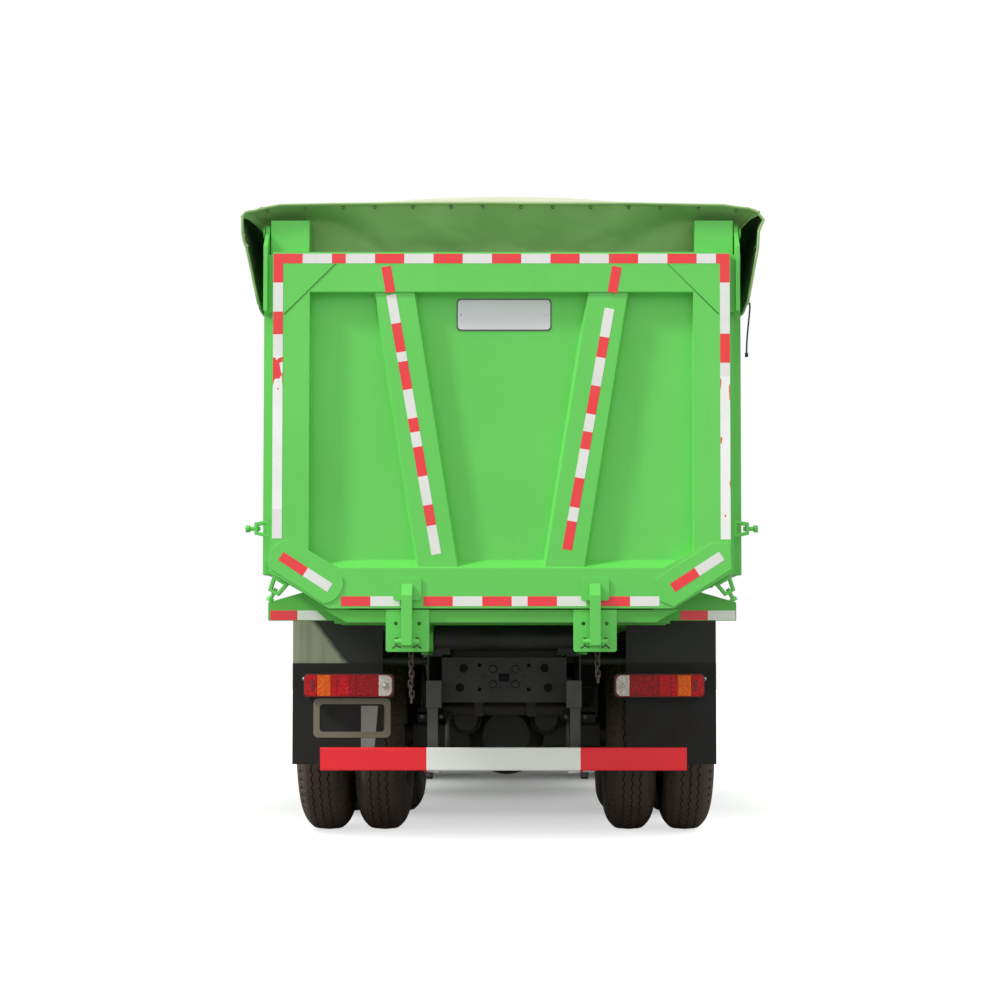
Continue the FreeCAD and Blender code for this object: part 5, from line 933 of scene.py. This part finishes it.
def curtain_rows(top):
    """Cloth from the rear hem forward over the raised posts' tops and down behind the tailgate."""
    foot_y = gate_y + 0.226
    foot_z = gate_top - 0.028
    steps = 26
    rows = [[p.copy() for p in top]]
    for step in range(1, steps + 1):
        share = step / steps
        row = []
        for p in top:
            edge = min(1.0, max(0.0, (abs(p.x) - 0.70) / 0.25))
            run = 0.85 - 0.66 * edge
            lead = min(1.0, share / run)
            lead = math.sin(lead * math.pi / 2)
            swing = math.sin(p.x * 5.1 + 0.6) * 0.4 + math.sin(p.x * 13.7 + 2.0 + 3 * share) * 0.3
            swing += 1.2 * ripple(p.x * 1.3, 0.7, share * 0.5, 2.4)
            calm = (1 - edge) * math.sin(math.pi * min(1.0, share * 1.05)) + 0.35 * share * edge
            y = p.y + (foot_y - p.y) * lead + 0.020 * swing * calm + 0.006 * edge * share
            inward = 1 - 0.152 * share ** 0.5
            row.append(Vector((p.x * inward, max(y, p.y), p.z + (foot_z - p.z) * share)))
        rows.append(row)
    return rows


def eyelet(build, place, out):
    """Brass ring set in the cloth."""
    build.ring(place, out, 0.0070, 0.0024, 12, 5)


def cover():
    """The cloth cover: roof with side skirts, front skirt, rear curtain, hems and eyelets."""
    count = 170
    rows = [cover_row(cover_rear_y + (cover_front_y - cover_rear_y) * step / count)
            for step in range(count + 1)]
    build = Build()
    build.grid(rows)
    roof = build.done("cover_roof", ["roof_cloth"], "dump_body", ("cover_sheet",))
    front = []
    top = [p for p in rows[-1] if p.z > cover_corner_z - corner_round]
    steps = 14
    for step in range(steps + 1):
        share = step / steps
        line = []
        for p in top:
            fold = 0.012 * share * (math.sin(p.x * 8.0) + ripple(p.x, 2.0, share, 3.0))
            line.append(Vector((p.x * (1 - 0.062 * share), p.y - abs(fold) * 0.5,
                                p.z + (skirt_z - p.z) * share)))
        front.append(line)
    build = Build()
    build.grid(front)
    apron = build.done("cover_front", ["cloth"], "dump_body")
    hem = [p for p in rows[0] if p.z > cover_corner_z - 0.06]
    hanging = curtain_rows(hem)
    build = Build()
    build.grid(hanging)
    piece = build.done("cover_curtain", ["curtain"], "dump_body")
    cover_trim(rows, hem)


def cover_trim(rows, hem):
    """Rolled hems with their eyelets, and the tie loops of the skirts."""
    build = Build()
    build.tube([p + Vector((0, 0.002, -0.004)) for p in rows[0]][::2], hem_radius, 8)
    for index in (0, -1):
        build.tube([row[index] + Vector((0, 0, 0.006)) for row in rows][::2], hem_radius, 8)
    build.finish = 1
    count = int(2 * corner_x / eyelet_pitch)
    for number in range(count):
        x = (number - (count - 1) / 2) * eyelet_pitch
        near = min(hem, key=lambda p: abs(p.x - x))
        eyelet(build, near + Vector((0, 0.004, -0.022)), -AHEAD)
    for index, side in ((0, -1), (-1, 1)):
        for number in range(1, 17):
            row = rows[int(number * (len(rows) - 1) / 17)]
            eyelet(build, row[index] + Vector((side * 0.004, 0, 0.030)), RIGHT)
    build.done("cover_hems", ["hem", "hook"], "dump_body")


# Tail lamps

def section_outline(x0, x1, z, half, round0, round1, y):
    """Upright outline from x0 to x1 with its own corner radius at each end."""
    points = []
    for x, sign, radius, order in ((x1, 1, round1, (1, -1)), (x0, -1, round0, (-1, 1))):
        for vertical in order:
            for step in range(5):
                angle = math.pi / 2 * step / 4
                if sign * vertical < 0:
                    angle = math.pi / 2 - angle
                along = (x1 - x0) / abs(x1 - x0) * sign
                points.append(Vector((x - along * radius * (1 - math.sin(angle)), y,
                                      z + vertical * (half - radius * (1 - math.cos(angle))))))
    return points


def tail_lamps():
    """Red housing rim, its lens sections from outside in, and the bulb behind the clear one."""
    low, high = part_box("tail_lamps")
    middle_z = (low.z + high.z) / 2
    half = (high.z - low.z) / 2
    face = low.y - 0.004
    for side, word in SIDES:
        build = Build()
        outer, inner = side * high.x, side * (high.x - 0.500)
        build.slab(section_outline(outer, inner, middle_z, half - 0.001, 0.022, 0.034, low.y + 0.004),
                   -AHEAD * 0.008, 0.002)
        reach = high.x - 0.007
        parts = ((0.068, 1, 0.018, 0.002), (0.075, 2, 0.002, 0.002), (0.103, 1, 0.002, 0.002),
                 (0.163, 3, 0.002, 0.002), (0.074, 4, 0.002, 0.030))
        for size, finish, round0, round1 in parts:
            build.finish = finish
            x0, x1 = side * reach, side * (reach - size + 0.001)
            outline = section_outline(x0, x1, middle_z, half - 0.008, round0, round1, face)
            build.slab(outline, -AHEAD * 0.010, 0.003)
            reach -= size
        build.finish = 0
        slot = side * (high.x - 0.050)
        build.box((slot - 0.009, face - 0.012, middle_z - 0.030),
                  (slot + 0.009, face - 0.004, middle_z + 0.030), 0.002)
        build.finish = 5
        bulb = Vector((side * (high.x - 0.452), face - 0.010, middle_z))
        build.rod(bulb, bulb - AHEAD * 0.0025, 0.020, 20)
        build.finish = 6
        build.rod(bulb - AHEAD * 0.001, bulb - AHEAD * 0.007, 0.012, 16, 0.006)
        for x in (0.183, 0.290):
            rib = side * (high.x - x)
            build.finish = 3
            build.box((rib - 0.002, face - 0.0115, middle_z - half + 0.012),
                      (rib + 0.002, face - 0.004, middle_z + half - 0.012), 0.001)
        build.done("lamp_lenses_" + word,
                   ["lamp_rim", "lamp_red", "lamp_amber", "lamp_dark", "lamp_clear", "steel", "lamp_clear"],
                   "chassis")


# Mudguards, flaps and underrun bar

def guard_trim():
    """Bolts along the guards' rear panels, the plate holder on the left flap and its brushed strip."""
    flap_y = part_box("mudflaps")[0].y
    build = Build()
    for side in (-1, 1):
        for x in (1.079, 0.967, 0.862, 0.767):
            build.bolt((side * x, guard_panel_y, 0.968), -AHEAD, 0.0085)
        for x in (1.120, 0.725):
            build.bolt((side * x, flap_y, 0.905), -AHEAD, 0.0085)
    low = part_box("underrun_guard")[0]
    build.finish = 1
    for x in (-0.405, 0.440):
        stub = Vector((x, guard_face_y + 0.030, low.z))
        build.rod(stub - UP * 0.030, stub + UP * 0.004, 0.022, 14)
    for side in (-1, 1):
        for reach in (-0.052, 0.052):
            build.bolt((side * (0.392 + reach), guard_face_y + 0.045, 0.700), -AHEAD, 0.010)
    for x in (-0.312, 0.352):
        build.tube([(x, guard_face_y + 0.120, low.z + 0.050), (x, guard_face_y + 0.130, 0.640),
                    (x + 0.010, guard_face_y + 0.190, 0.720)], 0.013, 10)
    build.done("guard_bolts", ["steel", "black"], "chassis")
    build = Build()
    outer = rounded_outline((-0.850, 0.687), 0.2155, 0.110, 0.028, flap_y)
    inner = rounded_outline((-0.850, 0.687), 0.1805, 0.077, 0.018, flap_y)
    rows = []
    for offset, line in ((0.0, outer), (0.0025, outer), (0.0025, inner), (0.0, inner)):
        rows.append([p - AHEAD * offset for p in line + line[:1]])
    build.grid(rows, False)
    build.finish = 1
    strip = ((-0.800, 0.755), (-0.705, 0.755), (-0.725, 0.500), (-0.800, 0.500))
    build.slab([Vector((x, flap_y, z)) for x, z in strip], -AHEAD * 0.0012)
    build.done("plate_holder", ["holder", "strip"], "chassis")


# Wheels

stud_circle = 0.1425
stud_count = 10


def reach_of(node, axle_y, radius, side):
    """Outermost place of a wheel's mesh within a radius of its axle."""
    return max(side * vert.co.x for vert in nodes[node].data.vertices
               if math.hypot(vert.co.y - axle_y, vert.co.z - axle_z) < radius)


def wheel_trim():
    """Studs with their nuts, and the hub cover with its bolts, on every wheel."""
    for side, word in SIDES:
        for axle, node, body in (("front", "rim_front_", "wheel_front_"), ("mid", "rims_mid_", "wheels_mid_"),
                                 ("rear", "rims_rear_", "wheels_rear_")):
            axle_y = (AXLES[axle][0].y + AXLES[axle][1].y) / 2
            disc = side * reach_of(node + word, axle_y, 0.152, side)
            hub = side * reach_of(node + word, axle_y, 0.080, side)
            build = Build()
            out = RIGHT * side
            for number in range(stud_count):
                turn = 2 * math.pi * (number + 0.5) / stud_count
                spot = Vector((disc, axle_y + stud_circle * math.cos(turn),
                               axle_z + stud_circle * math.sin(turn)))
                build.bolt(spot, out, 0.017)
                build.rod(spot, spot + out * 0.026, 0.0085, 10)
            build.finish = 1
            face = Vector((hub, axle_y, axle_z))
            build.rod(face - out * 0.004, face + out * 0.010, 0.084, 28)
            build.rod(face + out * 0.009, face + out * 0.026, 0.058, 28, 0.050)
            for number in range(8):
                turn = 2 * math.pi * number / 8
                spot = face + out * 0.010 + Vector((0, math.cos(turn), math.sin(turn))) * 0.071
                build.bolt(spot, out, 0.0075)
            build.done("wheel_nuts_" + axle + "_" + word, ["steel", "chassis"], body + word)


# Tank, hooks and rope

tank_half_y = 0.525
tank_middle = Vector((-0.800, 0.625, 0.810))
tank_half = (0.330, 0.250)
tank_corner = 0.070


def tank_trim():
    """Straps round the tank with their bolts, and its cap with its ring."""
    build = Build()
    for end in (-1, 1):
        y = tank_middle.y + end * (tank_half_y - 0.200)
        rows = []
        for offset, half in ((0.001, 0.036), (0.0055, 0.034), (0.0055, -0.034), (0.001, -0.036)):
            line = rounded_outline((tank_middle.x, tank_middle.z), tank_half[0] + offset,
                                   tank_half[1] + offset, tank_corner, y + half)
            rows.append(line + line[:1])
        build.grid(rows, False)
        wall = tank_middle.x - tank_half[0]
        build.box((wall - 0.030, y - 0.022, 0.955), (wall + 0.001, y + 0.022, 0.975), 0.004)
        build.rod((wall - 0.018, y, 0.890), (wall - 0.018, y, 0.985), 0.007, 12)
        build.bolt((wall - 0.018, y, 0.975), UP, 0.011)
    build.finish = 1
    cap = Vector((-1.000, tank_middle.y + tank_half_y - 0.250, 1.095))
    build.rod(cap - UP * 0.012, cap + UP * 0.004, 0.059, 24)
    build.rod(cap, cap + UP * 0.012, 0.046, 12, 0.040)
    build.done("tank_straps", ["steel", "black"], "chassis")


def coupling_trim():
    """Raised pads round the square hole of the rear cross member, and small bolts on its plate."""
    middle_z = 0.918
    face_y = min(vert.co.y for vert in nodes["rear_crossmember"].data.vertices
                 if abs(vert.co.x) < 0.2 and abs(vert.co.z - middle_z) < 0.07)
    build = Build()
    for x in (-0.062, 0.062):
        for z in (-0.042, 0.042):
            spot = Vector((x, face_y, middle_z + z))
            build.rod(spot, spot - AHEAD * 0.010, 0.022, 20, 0.017)
            build.rod(spot, spot - AHEAD * 0.013, 0.008, 12)
    for x, z in ((-0.108, 0.0), (0.108, 0.0), (-0.022, -0.062), (0.022, -0.062), (-0.250, 0.0), (0.250, 0.0)):
        build.bolt((x, face_y, middle_z + z), -AHEAD, 0.008)
    build.done("coupling_pads", ["chassis"], "chassis")


latch_x = 0.478
latch_pin_z = 1.100
cotter_radius = 0.0042
link_half = 0.011
link_radius = 0.0042
link_pitch = 0.026
chain_top_z = 1.040


def latch_trim():
    """Cotters in the latch arms' cross pins and the chains below the lock plates."""
    build = Build()
    pin_y = gate_y - 0.034
    for side in (-1, 1):
        for end in (-1, 1):
            eye = Vector((side * latch_x + end * 0.054, pin_y, latch_pin_z))
            for top_x, foot_x, foot_drop in ((-0.006, 0.020, 0.034), (0.004, -0.024, 0.030)):
                top = eye + UP * 0.022 + RIGHT * end * top_x
                foot = eye - UP * foot_drop + RIGHT * end * foot_x
                build.tube([top, eye - UP * 0.020, foot], cotter_radius, 6)
    build.done("latch_cotters", ["hook"], "tailgate")
    build = Build()
    for x, count in ((-0.462, 10), (0.492, 6)):
        for number in range(count):
            middle = Vector((x + 0.004 * math.sin(number * 1.7), gate_y + 0.060,
                             chain_top_z - number * link_pitch))
            turn = Matrix.Rotation(math.pi / 2 * (number % 2) + 0.3, 3, "Z")
            path = []
            for step in range(12):
                angle = 2 * math.pi * step / 12
                stretch = 0.010 if math.sin(angle) > 0 else -0.010
                place = Vector((link_half * math.cos(angle), 0, 0.010 * math.sin(angle) + stretch))
                path.append(middle + turn @ place)
            build.tube(path, link_radius, 6, closed=True)
    build.done("lock_chains", ["rust"], "dump_body")


chamber_x = 0.235
chamber_z = 0.665


def stabiliser():
    """Anti-roll bar, brake chambers and the web plate ahead of the rear cross member."""
    build = Build()
    bar_y, bar_z = -3.020, 0.735
    rear_axle = (AXLES["rear"][0].y + AXLES["rear"][1].y) / 2
    half = [(0.330, rear_axle - 0.110, 0.660), (0.330, rear_axle - 0.250, 0.700),
            (0.328, bar_y + 0.090, bar_z), (0.300, bar_y + 0.025, bar_z), (0.240, bar_y, bar_z)]
    build.tube([(-x, y, z) for x, y, z in half] + half[::-1], 0.040, 14)
    for x in (-0.150, 0.150):
        build.box((x - 0.030, bar_y - 0.046, bar_z - 0.046), (x + 0.030, bar_y + 0.046, bar_z + 0.060), 0.010)
        for reach in (-0.030, 0.030):
            build.bolt((x, bar_y + reach, bar_z + 0.060), UP, 0.009)
    for x in (-chamber_x, chamber_x):
        centre = Vector((x, rear_axle, chamber_z))
        for near, far, radius, sides, tip in ((0.110, 0.185, 0.055, 20, 0.055),
                                              (0.180, 0.230, 0.082, 28, 0.086),
                                              (0.230, 0.300, 0.088, 28, 0.066)):
            build.rod(centre - AHEAD * near, centre - AHEAD * far, radius, sides, tip)
        build.ring(centre - AHEAD * 0.230, AHEAD, 0.086, 0.007, 28, 8)
    web_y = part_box("rear_crossmember")[1].y + 0.030
    build.box((-0.290, web_y, 0.800), (0.290, web_y + 0.008, 1.085), 0.003)
    build.done("stabiliser", ["chassis"], "chassis")


hook_z = 2.792
hook_pitch = 0.620


def hooks():
    """Rope hooks along both sides of the load box."""
    build = Build()
    count = int((cover_front_y - cover_rear_y - 0.5) / hook_pitch)
    for side in (-1, 1):
        wall = side * tub_high.x
        for number in range(count + 1):
            y = gate_y + 0.235 + number * hook_pitch
            root = Vector((wall - side * 0.004, y, hook_z))
            tip = side * 0.052
            build.tube([root, root + RIGHT * (tip * 0.7) - UP * 0.002, root + RIGHT * tip + UP * 0.010,
                        root + RIGHT * (tip * 1.05) + UP * 0.026], 0.006, 8)
            build.rod(root, root + RIGHT * side * 0.008, 0.014, 12)
    build.done("rope_hooks", ["hook"], "dump_body")


def corner_rope():
    """Black tie rope from the cover's right rear corner down to its hook."""
    points = ((1.292, gate_y + 0.165, 2.872), (1.294, gate_y + 0.167, 2.845), (1.288, gate_y + 0.175, 2.780),
              (1.281, gate_y + 0.188, 2.700), (1.278, gate_y + 0.192, 2.640), (1.278, gate_y + 0.193, 2.606))
    data = bpy.data.curves.new("corner_rope", "CURVE")
    data.dimensions = "3D"
    data.bevel_depth = 0.0045
    data.bevel_resolution = 3
    spline = data.splines.new("NURBS")
    spline.points.add(len(points) - 1)
    for place, point in zip(points, spline.points):
        point.co = (*place, 1.0)
    spline.order_u = 3
    spline.use_endpoint_u = True
    data.materials.append(M["black"])
    rope = bpy.data.objects.new("corner_rope", data)
    bpy.context.scene.collection.objects.link(rope)
    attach(rope, "dump_body")
    build = Build()
    end = Vector(points[-1])
    build.rod(end - UP * 0.014, end + UP * 0.006, 0.009, 12)
    knot = build.done("corner_rope_knot", ["black"], "dump_body")


# Cab details

def window_seals():
    """Rubber seal round the outside of every pane."""
    cab_middle = (cab_low + cab_high) / 2
    for node, body in (("cab_glass", "cab"), ("door_glass_left", "door_left"),
                       ("door_glass_right", "door_right")):
        pane = bmesh.new()
        pane.from_mesh(nodes[node].data)
        bmesh.ops.remove_doubles(pane, verts=pane.verts, dist=1e-5)
        bmesh.ops.dissolve_limit(pane, angle_limit=0.02, verts=pane.verts, edges=pane.edges)
        pane.normal_update()
        largest = max(face.calc_area() for face in pane.faces)
        build = Build()
        for face in pane.faces:
            outward = face.normal.dot(face.calc_center_median() - cab_middle) > 0
            if outward and face.calc_area() > largest * 0.3:
                path = [vert.co.copy() for vert in face.verts]
                middle = face.calc_center_median()
                path = [p + (middle - p).normalized() * 0.006 for p in path]
                build.tube(path, 0.010, 8, closed=True)
        pane.free()
        build.done("seal_" + node, ["black"], body)


mirror_rear_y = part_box("mirrors")[0].y
screen_slope = (0.215 - 0.040) / (2.930 - 0.170 - 1.830)


grille_half = 0.755
grille_low = 1.124
grille_high = 1.556
mesh_rows = 31
mesh_columns = 100
wire_radius = 0.0035
grille_mesh_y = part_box("front_panel")[0].y - 0.008


def screen_y(z):
    """Front of the windscreen at a height."""
    return cab_high.y - 0.040 - 0.018 - screen_slope * (z - 1.830)


def cab_trim():
    """Wipers, the mesh behind the grille and the mirrors' glass."""
    build = Build()
    for x0, x1 in ((-0.62, -0.02), (0.10, 0.70)):
        foot = Vector((x0, cab_high.y - 0.046, 1.835))
        tip = Vector((x1, screen_y(1.945) + 0.016, 1.945))
        build.rod(foot - AHEAD * 0.02, foot + AHEAD * 0.012, 0.016, 14)
        build.tube([foot, foot.lerp(tip, 0.5) + AHEAD * 0.010, tip], 0.005, 8)
        start = Vector((x1 - 0.31, screen_y(1.912) + 0.010, 1.912))
        end = Vector((x1 + 0.26, screen_y(1.985) + 0.010, 1.985))
        build.tube([start, (start + end) / 2, end], 0.006, 6)
    build.done("wipers", ["black"], "cab")
    build = Build()
    for number in range(mesh_rows):
        z = grille_low + (grille_high - grille_low) * (number + 0.5) / mesh_rows
        build.rod((-grille_half, grille_mesh_y, z), (grille_half, grille_mesh_y, z), wire_radius, 6)
    for number in range(mesh_columns + 1):
        x = -grille_half + 2 * grille_half * number / mesh_columns
        wire_y = grille_mesh_y - 0.004
        build.rod((x, wire_y, grille_low), (x, wire_y, grille_high), wire_radius, 6)
    build.box((-grille_half, grille_mesh_y - 0.016, grille_low),
              (grille_half, grille_mesh_y - 0.010, grille_high))
    build.done("grille_mesh", ["black"], "cab")
    build = Build()
    for side in (-1, 1):
        for low, high in ((1.980, 2.400), (1.740, 1.950)):
            middle = ((side * (1.265 + 1.450) / 2), (low + high) / 2)
            build.slab(rounded_outline(middle, 0.082, (high - low) / 2 - 0.014, 0.022, mirror_rear_y),
                       -AHEAD * 0.0015, 0.0005)
    build.done("mirror_glass", ["mirror"], "cab")


# Cab seats

def pad(build, centre, half, turn, crown, channels):
    """Crowned cushion: round edges, sides drawn in between the corners, sewn channels on its face."""
    made = bmesh.ops.create_cube(build.bm, size=2.0)
    edges = list({edge for vert in made["verts"] for edge in vert.link_edges})
    bmesh.ops.subdivide_edges(build.bm, edges=edges, cuts=23, use_grid_fill=True)
    verts = [vert for vert in build.bm.verts if vert.tag is False]
    for vert in verts:
        u, v, w = vert.co
        length = (abs(u) ** 5 + abs(v) ** 5 + abs(w) ** 5) ** 0.2
        u, v, w = u / length, v / length, w / length
        rise = crown * (1 - u * u) * (1 - v * v)
        groove = sum(math.exp(-((u - place) / 0.035) ** 2) for place in channels)
        groove += sum(math.exp(-((v - place) / 0.035) ** 2) for place in (-0.78, 0.80)) * 0.7
        x = half[0] * u * (1 - 0.03 * (1 - v * v))
        y = half[1] * v * (1 - 0.03 * (1 - u * u))
        z = half[2] * w
        if w > 0:
            z += w * (rise - 0.009 * groove)
        vert.co = Vector(centre) + turn @ Vector((x, y, z))
        vert.tag = True
    build.keep(build.faces_of(verts), True)


def cab_seats():
    """Two sprung seats: bellows base, cushion and back rest."""
    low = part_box("seats")[0]
    for side, word in SIDES:
        x = side * 0.700
        rear = low.y + 0.160
        cushion_low = 1.560
        flat = Matrix.Identity(3)
        build = Build()
        pad(build, (x, rear + 0.240, cushion_low + 0.075), (0.245, 0.250, 0.066), flat, 0.022, (-0.55, 0.55))
        cushion = build.done("seat_cushion_" + word, ["seat"], "cab", ("seats",))
        build = Build()
        back = Matrix.Rotation(math.radians(-81), 3, "X")
        pad(build, (x, rear - 0.055, cushion_low + 0.380), (0.225, 0.310, 0.050), back, 0.020, (-0.58, 0.58))
        rest = build.done("seat_back_" + word, ["seat"], "cab")
        build = Build()
        for step in range(5):
            z = low.z + 0.010 + step * (cushion_low - low.z - 0.012) / 5
            inset = 0.012 if step % 2 else 0.0
            build.box((x - 0.180 + inset, rear + 0.085 + inset, z),
                      (x + 0.180 - inset, rear + 0.415 - inset, z + (cushion_low - low.z) / 5), 0.010)
        build.done("seat_base_" + word, ["black"], "cab")


# Stage

def stage():
    """White floor with painted shade under the truck from occlusion and a fade towards the rear, a soft sun
    from the left that skips the floor, and an even sky.
    """
    bpy.ops.mesh.primitive_plane_add(size=120.0, location=(0, 0, -0.001))
    floor = bpy.context.object
    floor.name = "floor"
    finish = Finish("floor_white")
    camera_ray = finish.add("ShaderNodeLightPath").outputs["Is Camera Ray"]
    near = finish.add("ShaderNodeAmbientOcclusion", {"Distance": 3.0}).outputs["AO"]
    # Painted shade: the floor's glow for the camera drops where the truck hides the sky and rises towards the
    # rear, standing in for the truck's shadow.
    painted_open_share = finish.spread(near, 0.15, 0.75, 0.0, 0.60)
    behind = finish.spread(finish.axis("Y"), gate_y + 5.6, gate_y + 1.0, 0.0, 0.80)
    painted_floor_light = finish.math("MAXIMUM", painted_open_share, behind)
    shown = finish.mix(camera_ray, (0.55, 0.55, 0.55, 1), (0.86, 0.86, 0.86, 1))
    finish.set(Base_Color=shown, Roughness=0.9, Specular_IOR_Level=0.1)
    finish.set(Emission_Color=(1, 1, 1, 1), Emission_Strength=finish.math("MULTIPLY", camera_ray, painted_floor_light))
    floor.data.materials.append(finish.material)

    world = bpy.data.worlds.new("sky")
    bpy.context.scene.world = world
    world.use_nodes = True
    tree = world.node_tree
    ground = tree.nodes["Background"]
    ground.inputs["Color"].default_value = (1, 1, 1, 1)
    rays = tree.nodes.new("ShaderNodeLightPath")
    total = rays.outputs["Is Camera Ray"]
    for word in ("Is Glossy Ray", "Is Transmission Ray"):
        add = tree.nodes.new("ShaderNodeMath")
        add.operation = "MAXIMUM"
        tree.links.new(total, add.inputs[0])
        tree.links.new(rays.outputs[word], add.inputs[1])
        total = add.outputs[0]
    level = tree.nodes.new("ShaderNodeMapRange")
    level.inputs["To Min"].default_value = 0.92
    level.inputs["To Max"].default_value = 1.0
    tree.links.new(total, level.inputs["Value"])
    tree.links.new(level.outputs[0], ground.inputs["Strength"])

    sun = bpy.data.lights.new("sun", "SUN")
    sun.energy = 2.3
    sun.angle = math.radians(8)
    lamp = bpy.data.objects.new("sun", sun)
    lamp.rotation_euler = Vector((-0.722, -0.253, 0.643)).to_track_quat("Z", "Y").to_euler()
    bpy.context.scene.collection.objects.link(lamp)
    shaded = bpy.data.collections.new("keeps_no_sun")
    shaded.objects.link(floor)
    shaded.collection_objects[0].light_linking.link_state = "EXCLUDE"
    lamp.light_linking.receiver_collection = shaded

    view = bpy.context.scene.view_settings
    view.view_transform = "Standard"


make_camera()
corner_rope()
dress_nodes()
gate_tapes()
rib_tapes()
corner_tapes()
wing_tapes()
blank_plate()
tyres()
cover()
tail_lamps()
guard_trim()
wheel_trim()
tank_trim()
hooks()
latch_trim()
coupling_trim()
stabiliser()
window_seals()
cab_trim()
cab_seats()
stage()
